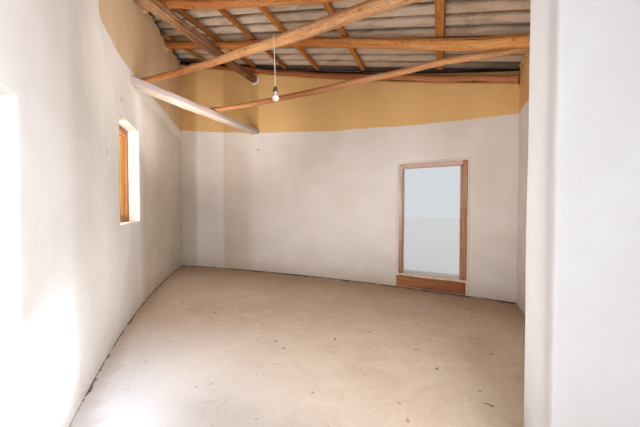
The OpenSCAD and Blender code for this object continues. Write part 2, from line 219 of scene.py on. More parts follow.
flex_path = smooth_route(flex_points, 140)
flex_side, flex_up = directions(flex_path, level=False)[1:]
flex_way = np.concatenate([[0], np.cumsum(np.linalg.norm(np.diff(flex_path, axis=0), axis=1))])
cores = []
for start in (0, math.pi):
    phase = (start + 2 * math.pi * flex_way / twist_pitch)[:, None]
    middle = flex_path + core_r * (flex_side * np.cos(phase) + flex_up * np.sin(phase))
    cores.append(tube(middle, core_r, flex_side, flex_up, 8))
flex_white = speckled("flex_white", 60.0, ((0.3, shade(170, 158, 138)), (0.65, shade(208, 198, 180))), 4.0,
    Roughness=0.55)
flex = loft("lamp_flex_cores", cores[0], flex_white)
second_core = loft("second_core", cores[1], flex_white)
bm = bmesh.new()
bm.from_mesh(flex.data)
bm.from_mesh(second_core.data)
bm.to_mesh(flex.data)
bm.free()
bpy.data.objects.remove(second_core)
flex.data.shade_smooth()

bakelite = speckled("black_bakelite", 45.0, ((0.35, shade(20, 18, 17)), (0.7, shade(46, 42, 38))), 5.0,
                    worn=((0.3, 0.25), (0.7, 0.5)), Roughness=0.3)
flex_foot = flex_points[-1]
ribs = lambda turn, z: 1 + (0.018 * np.cos(24 * turn) if -0.0355 < z < -0.0268 else 0 * turn)
holder = turned("lamp_holder_moulding", [(0, -0.042), (0.0135, -0.042), (0.0185, -0.042), (0.0195, -0.0415),
    (0.0199, -0.040), (0.0199, -0.0375), (0.0188, -0.0365), (0.0188, -0.0355), (0.0194, -0.035),
    (0.0196, -0.030), (0.0196, -0.0275), (0.0193, -0.0265), (0.0168, -0.022), (0.0160, -0.0205),
    (0.0160, -0.0190), (0.0150, -0.0180), (0.0122, -0.0162), (0.0112, -0.012), (0.0098, -0.007),
    (0.0088, -0.004), (0.0078, -0.0035), (0.0074, -0.0015), (0.0062, 0.0), (0.0034, 0.0), (0.003, -0.002),
    (0, -0.002)], flex_foot, 96, ribs, bakelite)

glass = speckled("dusty_glass", 70.0, ((0.4, shade(234, 220, 208)), (0.7, shade(212, 196, 182))), 3.0,
                 worn=((0.5, 0.015), (0.75, 0.12)), Roughness=0.05, Transmission_Weight=0.6, IOR=1.45)
bulb_line = smooth_route([(0.0129, -0.043), (0.0135, -0.052), (0.0175, -0.060), (0.0235, -0.0685),
    (0.0277, -0.078), (0.0288, -0.086), (0.0272, -0.096), (0.0215, -0.1065), (0.0120, -0.1125),
    (0.0001, -0.1138)], 46)
inside = [(max(r - 0.0007, 0.0), z + (0.0007 if z < -0.09 else 0)) for r, z in bulb_line[::-1]]
bulb = turned("lamp_bulb_glass", [(0, -0.0425), (0.0126, -0.0425)] + [tuple(p) for p in bulb_line[:-1]]
    + [(0, -0.1138), (0, -0.1131)] + [(r, z) for r, z in inside[1:]] + [(0.0118, -0.0432), (0, -0.0432)],
    flex_foot, 48, material=glass)

tungsten = speckled("lamp_wire", 300.0, ((0.3, shade(96, 92, 88)), (0.7, shade(150, 146, 140))),
    Roughness=0.4, Metallic=1.0)
stem_parts = []
lead = [(0.003, -0.046), (0.004, -0.062), (0.010, -0.074), (0.011, -0.080)]
stalk = [(0.0, -0.046), (0.0, -0.060), (0.0, -0.070), (0.0, -0.078)]
lead_r, stalk_r, coil_r = 0.0007, 0.0022, 0.0004
for bend, r in (([(-x, z) for x, z in lead], lead_r), (lead, lead_r), (stalk, stalk_r)):
    stem_parts.append((smooth_route([(x, 0.0, z) for x, z in bend], 14) + np.array(flex_foot), r))
turn = np.linspace(-1, 1, 120)
coil = np.stack([0.011 * turn, 0.0035 * np.sin(turn * 60) * 0.25 + 0.0035 * np.cos(turn * 2.4) - 0.0012,
                 -0.080 + 0.0009 * np.cos(turn * 60)], 1)
stem_parts.append((coil + np.array(flex_foot), coil_r))
bm = bmesh.new()
for line, r in stem_parts:
    ahead = np.gradient(line, axis=0)
    ahead /= np.linalg.norm(ahead, axis=1)[:, None]
    side = np.cross(ahead, (0, 1.0, 0))
    side /= np.linalg.norm(side, axis=1)[:, None]
    part = loft("part", tube(line, r, side, np.cross(ahead, side), 6))
    bm.from_mesh(part.data)
    bpy.data.objects.remove(part)
bmesh.ops.recalc_face_normals(bm, faces=bm.faces)
stem_mesh = bpy.data.meshes.new("lamp_bulb_stem")
bm.to_mesh(stem_mesh)
bm.free()
stem = piece("lamp_bulb_stem", stem_mesh, tungsten)

for obj, slot_name, node in ((flex, "flex_white", "lamp_flex"), (holder, "holder_black", "lamp_holder"),
        (bulb, "bulb_glass", "lamp_bulb"), (stem, "bulb_glass", None)):
    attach(obj, "root")
    if node:
        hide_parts(node)
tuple(flex_points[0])


# Floor. A slab of poor cement screed, floated by hand, dusty and stained,
# with drips of limewash along the walls and fine cracks.
def group(name, inputs, outputs):
    """A new node group, its adder, the sockets of what it is given and those of what it gives."""
    tree = bpy.data.node_groups.new(name, "ShaderNodeTree")
    for key, value in inputs.items():
        kind = {4: "Color", 3: "Vector", 0: "Float"}[len(value) if isinstance(value, tuple) else 0]
        tree.interface.new_socket(key, in_out="INPUT", socket_type="NodeSocket" + kind).default_value = value
    for key in outputs:
        tree.interface.new_socket(key, in_out="OUTPUT", socket_type="NodeSocketColor" if key == "Color"
            else "NodeSocketFloat")
    given, result = tree.nodes.new("NodeGroupInput").outputs, tree.nodes.new("NodeGroupOutput").inputs
    return tree, adder(tree), given, result


def use_group(add, tree, values):
    """Places a node group, with its values and links."""
    return add("Group", values, node_tree=tree)


def mixed(add, fac, a, b, blend="MIX"):
    """Two colours mixed by a share."""
    return add("Mix", {0: fac, 6: a, 7: b}, data_type="RGBA", blend_type=blend).outputs[2]


def maths(add, operation, a, b=0.0, clamp=False):
    """One step of arithmetic."""
    return add("Math", {0: a, 1: b}, operation=operation, use_clamp=clamp).outputs[0]


def times(add, a, b, clamp=False):
    """One value times another."""
    return maths(add, "MULTIPLY", a, b, clamp)


def plus(add, a, b):
    """One value and another."""
    return maths(add, "ADD", a, b)


def less(add, a, b, clamp=False):
    """One value less another."""
    return maths(add, "SUBTRACT", a, b, clamp)


def stretched(add, where, scale, shift=(0.0, 0.0, 0.0)):
    """Places scaled by three shares, so that what they set is drawn out or squeezed."""
    return add("Mapping", {"Vector": where, "Location": shift, "Scale": scale}).outputs[0]


def fade(add, value, start, end, first=0.0, last=1.0):
    """A share that goes from first to last while a value goes from start to end."""
    return add("MapRange", {"Value": value, "From Min": start, "From Max": end, "To Min": first,
        "To Max": last}).outputs[0]


# crumbs and specks of dirt, as a mask
specks, add, given, result = group("specks", {"Vector": (0.0, 0.0, 0.0), "Scale": 40.0, "Share": 0.3,
    "Size": 0.2}, ["Mask"])
ragged = add("TexNoise", {"Vector": given["Vector"], "Scale": times(add, given["Scale"], 2.6),
    "Detail": 4.0}).outputs["Color"]
ragged = add("VectorMath", {0: ragged, 1: (0.5, 0.5, 0.5)}, operation="SUBTRACT").outputs[0]
reach = maths(add, "DIVIDE", 0.9, given["Scale"])
ragged = add("VectorMath", {0: ragged, "Scale": reach}, operation="SCALE").outputs[0]
where = add("VectorMath", {0: given["Vector"], 1: ragged}, operation="ADD").outputs[0]
cells = add("TexVoronoi", {"Vector": where, "Scale": given["Scale"], "Randomness": 1.0})
luck = add("SeparateColor", {"Color": cells.outputs["Color"]}).outputs
chosen = maths(add, "LESS_THAN", luck[0], given["Share"])
size = times(add, given["Size"], luck[1])
near = less(add, size, cells.outputs["Distance"])
specks.links.new(times(add, chosen, times(add, near, 18.0, clamp=True)), result["Mask"])


def specks_on(add, where, scale, share, size):
    """Specks on a surface, as a mask: how close together, what share of places has one, and how large."""
    return use_group(add, specks, {"Vector": where, "Scale": scale, "Share": share,
        "Size": size}).outputs["Mask"]


screed, add, shader = new_material("floor_screed", Roughness=0.85)
where = add("TexCoord").outputs["Object"]
cloud = cloudy(add, where, 0.9, 5.0, 0.55, 0.4)
grit = cloudy(add, where, 38.0, 6.0, 0.75)
patch = cloudy(add, where, 4.2, 5.0, 0.6, 0.8)
colour = ramp(add, cloud, (0.25, shade(190, 166, 142)), (0.45, shade(206, 184, 160)),
    (0.62, shade(214, 195, 173)), (0.8, shade(200, 176, 150)))
colour = mixed(add, ramp(add, patch, (0.36, 0.3), (0.6, 0.0)), colour, shade(170, 144, 118))
colour = mixed(add, ramp(add, grit, (0.42, 0.0), (0.8, 0.28)), colour, shade(140, 116, 92))
drift = add("TexNoise", {"Vector": where, "Scale": 3.0, "Detail": 3.0}).outputs["Color"]
warped = add("VectorMath", {0: where, 1: drift}, operation="ADD").outputs[0]
crack = add("TexVoronoi", {"Vector": warped, "Scale": 0.75}, feature="DISTANCE_TO_EDGE").outputs["Distance"]
crack = times(add, ramp(add, crack, (0.0, 1.0), (0.005, 0.0)), ramp(add, patch, (0.52, 0.0), (0.64, 0.5)))
colour = mixed(add, crack, colour, shade(124, 102, 82))
dark = specks_on(add, where, 17.0, 0.3, 0.25)
pale = specks_on(add, where, 23.0, 0.12, 0.2)
colour = mixed(add, times(add, dark, 0.85), colour, shade(82, 62, 46))
litter = specks_on(add, stretched(add, where, (1.0, 1.7, 1.0)), 7.5, 0.34, 0.17)
colour = mixed(add, times(add, litter, 0.8), colour, shade(96, 74, 54))
colour = mixed(add, times(add, pale, 0.6), colour, shade(236, 230, 220))
# the screed stops short of the back and left walls, with dirt and lime crumbs in the gap
flat = stretched(add, where, (1.0, 1.0, 0.0))
off = []
back_round, left_round = ((-0.18756, -14.94967), 16.32495), ((9.61144, 9.88400), 15.19532)
for centre, radius in (back_round, left_round):
    away = add("VectorMath", {0: flat, 1: (*centre, 0.0)}, operation="DISTANCE").outputs["Value"]
    off.append(less(add, radius, away))
gap = maths(add, "MINIMUM", times(add, off[0], 0.45), times(add, off[1], 1.8))
# the screed turns darker towards the back wall, over about its last metre
toward_back_wall = fade(add, plus(add, off[0], times(add, patch, -0.5)), -0.15, 0.9, 0.85, 0.0)
colour = mixed(add, toward_back_wall, colour, mixed(add, 1.0, colour, shade(206, 190, 172), "MULTIPLY"))
# painted light: a pale, cool pool on the screed near the low doorway, where daylight falls in
door_off = add("VectorMath", {0: flat, 1: (-0.1, -2.0, 0.0)}, operation="DISTANCE").outputs["Value"]
door_daylight = fade(add, plus(add, door_off, times(add, cloud, 0.8)), 0.7, 2.1, 0.85, 0.0)
colour = mixed(add, door_daylight, colour, shade(228, 225, 226))
ragged = times(add, less(add, cloudy(add, where, 7.0, 6.0, 0.7), 0.34), 0.20)
grime = times(add, less(add, ragged, gap), 60.0, clamp=True)
bank = times(add, less(add, times(add, patch, 0.5), gap), 6.0, clamp=True)
colour = mixed(add, times(add, bank, 0.45), colour, shade(164, 142, 120))
colour = mixed(add, times(add, grime, 0.9), colour, shade(80, 64, 50))
crumbs = specks_on(add, where, 36.0, 0.55, 0.32)
crumbs = times(add, crumbs, times(add, less(add, 0.11, gap), 20.0, clamp=True))
colour = mixed(add, times(add, crumbs, 0.85), colour, shade(226, 214, 200))
height = plus(add, times(add, grit, 0.35), less(add, patch, crack))
height = plus(add, height, less(add, times(add, crumbs, 1.2), grime))
feed(screed, shader, Base_Color=colour, Roughness=ramp(add, patch, (0.3, 0.72), (0.7, 0.92)),
    Height=(height, 0.35, 0.006))
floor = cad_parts["floor_slab"]
floor.data.materials.clear()
floor.data.materials.append(screed)


# Walls. Adobe blocks laid in mud, plastered by hand with mud and lime, and
# limewashed many times over. Above a hand-drawn line the room is painted ochre.
bed_z, slope = 3.187, math.radians(12)
wall_t = 0.400
corner, right_corner, near_jamb = (-2.830, 1.160), (2.265, 1.190), (0.190, -2.038)
back_bow, left_bow = 0.200, 0.160
front_y, right_face, right_out = -2.750, 2.265, 2.665


def bed(x):
    """Height of the plane that the roof sheets lie on."""
    return bed_z - math.tan(slope) * x


def past_face(arc, p):
    """How far a point lies behind a bowed wall's face, or less than nought in the room."""
    return math.hypot(p[0] - arc[0][0], p[1] - arc[0][1]) - arc[1]


def arc_between(a, b, bow):
    """Centre and radius of a bowed wall's face, from corner to corner."""
    a, b = np.array(a), np.array(b)
    chord = np.linalg.norm(b - a)
    r = (chord * chord / 4 + bow * bow) / (2 * bow)
    d = (b - a) / chord
    return (a + b) / 2 + np.array([-d[1], d[0]]) * (r - bow), r


def angle_of(arc, p):
    """Where a point lies along a bowed wall, as an angle."""
    return math.atan2(p[1] - arc[0][1], p[0] - arc[0][0]) % (2 * math.pi)


def on_arc(arc, angle, depth=0.0):
    """A point on plan, at an angle along a bowed wall and a depth into it."""
    return arc[0][0] + (arc[1] + depth) * math.cos(angle), arc[0][1] + (arc[1] + depth) * math.sin(angle)


back_arc = arc_between(right_corner, corner, back_bow)
left_arc = arc_between(corner, near_jamb, left_bow)


def between(*stops, step):
    """Places from stop to stop, no further apart than a step."""
    out = []
    for a, b in zip(stops, stops[1:]):
        out += list(np.linspace(a, b, max(1, math.ceil(abs(b - a) / step - 1e-6)), endpoint=False))
    return out + [stops[-1]]


def up_to(low, high, rows):
    """The heights of some rows, from a level up to a sloping top."""
    return [low + (high - low) * s for s in np.linspace(0, 1, rows + 1)[1:]]


def mark(mesh, key, values):
    """Gives each point of a mesh the value, or the three values, that its material or its fixings read."""
    kind, field = ("FLOAT_VECTOR", "vector") if np.ndim(values) > 1 else ("FLOAT", "value")
    mesh.attributes.new(key, kind, "POINT").data.foreach_set(field, np.array(values, np.float32).ravel())


def settled(obj, name):
    """Turns an object and its modifier into a plain mesh."""
    mesh = bpy.data.meshes.new_from_object(obj.evaluated_get(bpy.context.evaluated_depsgraph_get()))
    obj.modifiers.clear()
    obj.data, mesh.name = mesh, name
    return mesh


def masonry(name, plan, columns, heights, depths, gone, swell, paint, tone, material, planes=(), arris=0.014):
    """One wall as a grid of blocks, with its openings left out, its edges rounded and its plaster uneven.
    plan gives the place of a column and depth, heights all heights there, and planes where it is cut off.
    paint is the height above the paint line, and darkening how far painted shade darkens the limewash."""
    grid = [[heights(*plan(c, d)) for d in depths] for c in columns]
    counts = (len(columns) - 1, len(grid[0][0]) - 1, len(depths) - 1)
    solid = np.zeros([n + 2 for n in counts], bool)
    for i, j, k in np.ndindex(*counts):
        column, depth = (columns[i] + columns[i + 1]) / 2, (depths[k] + depths[k + 1]) / 2
        z = (grid[i][k][j] + grid[i][k][j + 1]) / 2
        solid[i + 1, j + 1, k + 1] = not gone(column, z, depth, plan(column, depth))
    bm = bmesh.new()
    made = {}

    def corner_at(i, j, k):
        if (i, j, k) not in made:
            made[i, j, k] = bm.verts.new((*plan(columns[i], depths[k]), grid[i][k][j]))
        return made[i, j, k]

    for i, j, k in np.ndindex(*counts):
        if not solid[i + 1, j + 1, k + 1]:
            continue
        for axis in range(3):
            for end in (0, 1):
                beyond = [i + 1, j + 1, k + 1]
                beyond[axis] += 2 * end - 1
                if not solid[tuple(beyond)]:
                    p, q = [a for a in range(3) if a != axis]
                    loop = []
                    for u, v in ((0, 0), (1, 0), (1, 1), (0, 1)):
                        at = [i, j, k]
                        at[axis] += end
                        at[p] += u
                        at[q] += v
                        loop.append(corner_at(*at))
                    bm.faces.new(loop)
    bmesh.ops.recalc_face_normals(bm, faces=bm.faces)
    for point, normal in planes:
        geom = list(bm.verts) + list(bm.edges) + list(bm.faces)
        cut = bmesh.ops.bisect_plane(bm, geom=geom, plane_co=point, plane_no=normal, clear_outer=True,
            dist=1e-5)
        rim = [e for e in cut["geom_cut"] if isinstance(e, bmesh.types.BMEdge)]
        bmesh.ops.holes_fill(bm, edges=rim, sides=0)
    bmesh.ops.recalc_face_normals(bm, faces=bm.faces)
    sharp = [e for e in bm.edges if len(e.link_faces) == 2 and e.calc_face_angle() > 0.7]
    bmesh.ops.bevel(bm, geom=sharp, offset=arris, segments=2, profile=0.5, affect="EDGES", clamp_overlap=True)
    rough = bpy.data.meshes.new("rough_wall")
    bm.to_mesh(rough)
    bm.free()
    obj = piece(name, rough, material)
    soften = obj.modifiers.new("soften", "SUBSURF")
    soften.levels = soften.render_levels = 1
    mesh = settled(obj, name)
    co = np.zeros(len(mesh.vertices) * 3)
    mesh.vertices.foreach_get("co", co)
    co = co.reshape(-1, 3)
    normals = np.array([v.vector for v in mesh.vertex_normals])
    push, line, darkness = np.zeros(len(co)), np.zeros(len(co)), np.zeros(len(co))
    for i, (p, n) in enumerate(zip(co, normals)):
        v = Vector(p)
        broad, fine = noise.noise(v * 1.15), noise.noise(v * 11)
        middling = noise.noise(v * 3.6 + Vector((7, 3, 1)))
        lumps = 0.0062 * broad + 0.0034 * middling + 0.0013 * fine
        push[i], line[i], darkness[i] = swell(p, n, lumps), paint(p, n), tone(p)
    co += normals * push[:, None]
    mesh.vertices.foreach_set("co", co.ravel())
    mark(mesh, "paint", line)
    mark(mesh, "tone", darkness)
    mesh.update()
    return obj


# many coats of limewash over hand-laid plaster, with a painted band above
limewash, add, given, result = group("limewash", {"Vector": (0.0, 0.0, 0.0), "Paint": -1.0, "Tone": 0.0,
    "White": shade(240, 236, 230), "Shadow": shade(214, 204, 192), "Band": shade(222, 180, 120),
    "Band Dark": shade(196, 152, 98), "Soil": shade(170, 146, 118), "Wear": 0.5},
    ["Color", "Roughness", "Height"])
where = given["Vector"]
z = add("SeparateXYZ", {"Vector": where}).outputs["Z"]
cloud = cloudy(add, where, 1.1, 5.0, 0.6, 0.5)
patch = cloudy(add, where, 5.0, 6.0, 0.65, 0.6)
grain = cloudy(add, where, 55.0, 5.0, 0.7)
brush = cloudy(add, stretched(add, where, (9.0, 9.0, 4.0)), 1.0, 6.0, 0.65, 1.5)
runs = cloudy(add, stretched(add, where, (2.4, 2.4, 0.8)), 1.0, 3.0, 0.5)
white = mixed(add, ramp(add, cloud, (0.32, 1.0), (0.62, 0.0)), given["White"], given["Shadow"])
white = mixed(add, times(add, ramp(add, patch, (0.48, 0.0), (0.75, 0.45)), given["Wear"]), white,
    given["Shadow"])
white = mixed(add, times(add, ramp(add, brush, (0.5, 0.0), (0.72, 0.35)), given["Wear"]), white,
    given["Shadow"])
band = mixed(add, ramp(add, runs, (0.32, 0.0), (0.72, 0.7)), given["Band"], given["Band Dark"])
band = mixed(add, ramp(add, patch, (0.5, 0.0), (0.82, 0.4)), band, given["Band Dark"])
wobble = times(add, less(add, cloudy(add, where, 2.6, 5.0, 0.62), 0.5), 0.045)
above = times(add, plus(add, given["Paint"], wobble), 150.0, clamp=True)
thin_coat = less(add, 1.0, times(add, ramp(add, brush, (0.56, 0.0), (0.7, 0.3)), given["Wear"]))
colour = mixed(add, times(add, above, thin_coat), white, band)
stain = times(add, ramp(add, runs, (0.5, 0.0), (0.75, 0.35)), given["Wear"])
colour = mixed(add, times(add, stain, 0.5), colour, given["Soil"])
# painted shade: the darkening share multiplies the limewash towards a brownish grey, unevenly by the patches
edge = times(add, less(add, patch, 0.5), 0.5)
colour = mixed(add, 1.0, colour, mixed(add, plus(add, given["Tone"], times(add, edge, given["Tone"])),
                                       (1.0, 1.0, 1.0, 1.0), shade(204, 188, 164)), "MULTIPLY")
low = fade(add, plus(add, z, times(add, patch, -0.16)), 0.02, 0.22, 0.6, 0.0)
colour = mixed(add, times(add, low, plus(add, grain, 0.15)), colour, given["Soil"])
chips = specks_on(add, where, 9.0, 0.16, 0.1)
colour = mixed(add, times(add, chips, times(add, given["Wear"], 0.5)), colour, given["Soil"])
height = plus(add, times(add, patch, 1.0), times(add, grain, 0.22))
height = plus(add, height, times(add, brush, 0.18))
height = less(add, height, times(add, chips, 0.4))
limewash.links.new(colour, result["Color"])
limewash.links.new(ramp(add, patch, (0.3, 0.82), (0.7, 0.95)), result["Roughness"])
limewash.links.new(height, result["Height"])

# a scuffed or chipped place on a wall, ragged at its edge
scuff, add, given, result = group("scuff", {"Vector": (0.0, 0.0, 0.0), "Place": (0.0, 0.0, 0.0),
    "Size": 0.02}, ["Mask"])
off = add("VectorMath", {0: given["Vector"], 1: given["Place"]}, operation="DISTANCE").outputs["Value"]
ragged = cloudy(add, given["Vector"], 60.0, 4.0)
reach = times(add, given["Size"], times(add, ragged, 2.0))
scuff.links.new(times(add, less(add, reach, off), 220.0, clamp=True), result["Mask"])


door_middle_x, door_half, joint_top, joint_foot = 1.376, 0.404, 1.724, 0.12


def wall_finish(name, scuffs=(), door_joint=0.0, **colours):
    """Limewash in one wall's own tones. scuffs are (place, size, colour), and door_joint how deep the
    plaster's joint round the door frame shows."""
    material, add, shader = new_material(name, Roughness=0.9)
    where = add("TexCoord").outputs["Object"]
    values = {key.replace("_", " "): value for key, value in colours.items()}
    values["Vector"] = where
    values["Paint"] = add("Attribute", attribute_name="paint", attribute_type="GEOMETRY").outputs["Fac"]
    # the darkening attribute is painted shade on the left and back walls, and a fixed darkening on the mud
    values["Tone"] = add("Attribute", attribute_name="tone", attribute_type="GEOMETRY").outputs["Fac"]
    coat = use_group(add, limewash, values)
    colour, height = coat.outputs["Color"], coat.outputs["Height"]
    for place, size, tint in scuffs:
        mask = use_group(add, scuff, {"Vector": where, "Place": place, "Size": size}).outputs["Mask"]
        colour = mixed(add, times(add, mask, 0.7), colour, tint)
        height = less(add, height, times(add, mask, 0.5))
    if door_joint:
        ragged = times(add, cloudy(add, where, 9.0, 4.0), 0.016)
        part = add("SeparateXYZ", {"Vector": where})
        aside = less(add, maths(add, "ABSOLUTE", less(add, part.outputs["X"], door_middle_x)), door_half)
        over = less(add, part.outputs["Z"], joint_top)
        off = maths(add, "ABSOLUTE", less(add, maths(add, "MAXIMUM", aside, over), plus(add, ragged, 0.012)))
        line = less(add, 1.0, times(add, off, 170.0), clamp=True)
        line = times(add, line, maths(add, "GREATER_THAN", part.outputs["Z"], joint_foot))
        colour = mixed(add, times(add, line, door_joint), colour, shade(150, 122, 98))
        height = less(add, height, line)
    feed(material, shader, Base_Color=colour, Roughness=coat.outputs["Roughness"],
        Height=(height, 0.4, 0.008))
    return material


left_finish = wall_finish("left_wall_limewash", White=shade(240, 238, 234), Shadow=shade(228, 223, 216),
    Band=shade(224, 196, 160), Band_Dark=shade(206, 174, 134), Wear=0.4,
    scuffs=[((-0.742, -1.238, 1.561), 0.02, shade(190, 168, 148)),
    ((-1.041, -0.952, 2.089), 0.022, shade(170, 140, 112)),
    ((-0.80, -1.18, 2.08), 0.012, shade(150, 124, 100)), ((-2.05, 0.13, 1.62), 0.012, shade(120, 104, 90))])
back_finish = wall_finish("back_wall_limewash", White=shade(228, 221, 215), Shadow=shade(216, 206, 198),
    Band=shade(226, 184, 122), Band_Dark=shade(212, 168, 108), Wear=0.3, door_joint=0.45,
    scuffs=[((-1.281, 1.339, 2.097), 0.018, shade(138, 112, 92)),
    ((-2.709, 1.179, 1.736), 0.02, shade(176, 152, 126))])
# on the right wall the small dark mark at (2.262, 0.989, 2.54) is a hole, drawn as a painted shade
right_finish = wall_finish("right_wall_limewash", White=shade(228, 222, 216), Shadow=shade(212, 203, 194),
    Band=shade(222, 180, 120), Band_Dark=shade(206, 164, 106), Wear=0.5,
    scuffs=[((2.262, 1.06, 2.66), 0.055, shade(178, 128, 74)),
    ((2.262, 0.989, 2.54), 0.012, shade(60, 40, 26))])
pier_finish = wall_finish("pier_limewash", White=shade(236, 239, 243), Shadow=shade(227, 228, 230), Wear=0.2)

# left wall, with its window and the low doorway near the front
grid_step = 0.085
left_step = grid_step / left_arc[1]
left_level = 2.30
window_far = angle_of(left_arc, (-1.465, -0.518))
window_near = window_far + 0.677 / left_arc[1]
door_far = angle_of(left_arc, near_jamb)
door_near = door_far + 0.750 / left_arc[1]
left_ends = (angle_of(left_arc, corner) - math.radians(3.2), door_near + math.radians(5.5))
window_z, near_door_top = (1.011, 1.955), 1.530
left_low = between(0.0, 0.1, window_z[0], near_door_top, window_z[1], left_level, step=grid_step)


def left_painted_shade(p):
    """Painted shade on the left wall: none near the open front, deeper from there to its far end, and deeper
    below 2.4 m.
    """
    far = 0.36 if p[2] > 2.4 else 0.66
    return float(np.interp(p[0], [-2.8, -1.60, -1.46, -0.9, -0.30, -0.20], [far, far, 0.24, 0.24, 0.3, 0.0]))


def left_paint(p, n):
    """Height above the paint line of the left wall, on its room side only."""
    if past_face(left_arc, p) > 0.03 or p[1] < -1.36:
        return -1.0
    line = np.interp(p[0], [-2.83, -2.788, -2.349, -1.716, -1.326, -0.911, -0.661],
        [2.51, 2.518, 2.575, 2.546, 2.484, 2.437, 2.442])
    return float(np.clip(min(p[2] - line, (p[1] + 1.34) * 1.0), -1, 1))


def in_left_openings(a, z, d, p):
    """Whether a block of the left wall is where its window or its doorway is."""
    in_window = window_far < a < window_near and window_z[0] < z < window_z[1]
    return in_window or (door_far < a < door_near and z < near_door_top)


cut_front = ((0, front_y, 0), (0, -1, 0))
back_way = np.array(corner) - back_arc[0]
back_way /= np.linalg.norm(back_way)
back_cut = ((corner[0] + back_way[0] * 0.015, corner[1] + back_way[1] * 0.015, 0),
    (back_way[0], back_way[1], 0))
left_wall = masonry(
    "left_wall", lambda a, d: on_arc(left_arc, a, d),
    between(left_ends[0], window_far, window_near, door_far, door_near, left_ends[1], step=left_step),
    lambda x, y: left_low + up_to(left_level, bed(x), 14),
    [0.0, 0.10, 0.20, 0.30, wall_t],
    in_left_openings, lambda p, n, lumps: lumps, left_paint, left_painted_shade, left_finish,
    planes=[cut_front, back_cut], arris=0.016)
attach(left_wall, "root")
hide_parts("left_wall_near_jamb", "left_wall_over_door", "left_wall_middle",
    "left_wall_under_window", "left_wall_over_window", "left_wall_far")

# back wall, bowed outwards, with a ledge for its pole under the roof
ledge_z, ledge_slope, ledge_d = 3.028, math.radians(13.24), 0.150
back_step = grid_step / back_arc[1]
door_right = angle_of(back_arc, (right_face - 0.488, corner[1] + 0.086))
door_left = door_right + 0.806 / back_arc[1]
sill_top, door_top = 0.250, 1.723
back_ends = (angle_of(back_arc, right_corner) - 0.0252, angle_of(back_arc, corner) + 0.034)
back_low = between(0.0, 0.1, sill_top, door_top, 2.10, step=grid_step)


def ledge_at(x):
    """Height of the ledge that the wall pole lies on."""
    return ledge_z - math.tan(ledge_slope) * x


def back_heights(x, y):
    """Heights of the rows of the back wall: to the ledge, then to the sheets."""
    return back_low + up_to(back_low[-1], ledge_at(x), 12) + up_to(ledge_at(x), bed(x), 2)


paint_line = np.polyfit([-2.827, -1.257, -0.591, 0.006, 0.515, 0.975, 1.343, 1.844, 2.240],
                        [2.530, 2.384, 2.336, 2.279, 2.241, 2.207, 2.198, 2.195, 2.189], 2)


def back_paint(p, n):
    """Height above the paint line of the back wall, on its room side only."""
    if past_face(back_arc, p) > ledge_d + 0.03 or not -2.9 < p[0] < 2.3:
        return -1.0
    return float(np.clip(p[2] - np.polyval(paint_line, p[0]), -1, 1))


def back_swell(p, n, lumps):
    """The back wall's plaster: upright ridges near the corner, calm round the door frame."""
    along = math.hypot(p[0] - corner[0], p[1] - corner[1])
    ridge = np.interp(along, [0, 0.30, 0.36, 0.60, 0.86, 0.92, 1.12, 1.34, 1.6],
        [0.004, 0.006, -0.006, -0.004, 0.004, 0.007, -0.002, -0.007, 0])
    calm = 1.0
    if n[1] < -0.3 and 0.75 < p[0] < 2.0 and p[2] < 1.95:
        calm = min(1.0, 0.15 + max(0.93 - p[0], p[0] - 1.82, p[2] - 1.76, 0) * 6)
    return (lumps + (ridge if n[1] < -0.3 else 0)) * calm


def back_painted_light_and_shade(p):
    """Painted light and shade on the back wall: shade in the corner, a lit strip beside it, shade again that
    fades out along the wall, and a narrow painted shadow high up.
    """
    along = math.hypot(p[0] - corner[0], p[1] - corner[1])
    darkness = np.interp(along, [0, 0.31, 0.36, 0.86, 0.91, 1.30, 1.5, 1.8],
        [0.62, 0.55, 0.02, 0.05, 0.5, 0.36, 0.08, 0.0])
    # a narrow painted shadow high up on the wall
    if 1.39 < along < 1.56 and p[2] > 2.38:
        darkness = 0.5
    return float(darkness)


def in_back_openings(a, z, d, p):
    """Whether a block of the back wall is where its doorway is, or where its ledge is cut out."""
    return door_right < a < door_left and sill_top < z < door_top or d < ledge_d and z > ledge_at(p[0])


left_out_way = np.array(corner) - left_arc[0]
left_out_way /= np.linalg.norm(left_out_way)
left_cut = ((*(np.array(corner) + left_out_way * wall_t), 0), (*left_out_way, 0))
back_columns = between(back_ends[0], door_right, door_left, back_ends[1], step=back_step)
back_wall = masonry("back_wall", lambda a, d: on_arc(back_arc, a, d), back_columns, back_heights,
    [0.0, 0.09, ledge_d, 0.28, wall_t], in_back_openings, back_swell, back_paint, back_painted_light_and_shade, back_finish,
    planes=[((right_out, 0, 0), (1, 0, 0)), left_cut])
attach(back_wall, "root")
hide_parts("back_wall_left", "back_wall_middle", "back_wall_over_door", "back_wall_right",
    "doorway_sill")

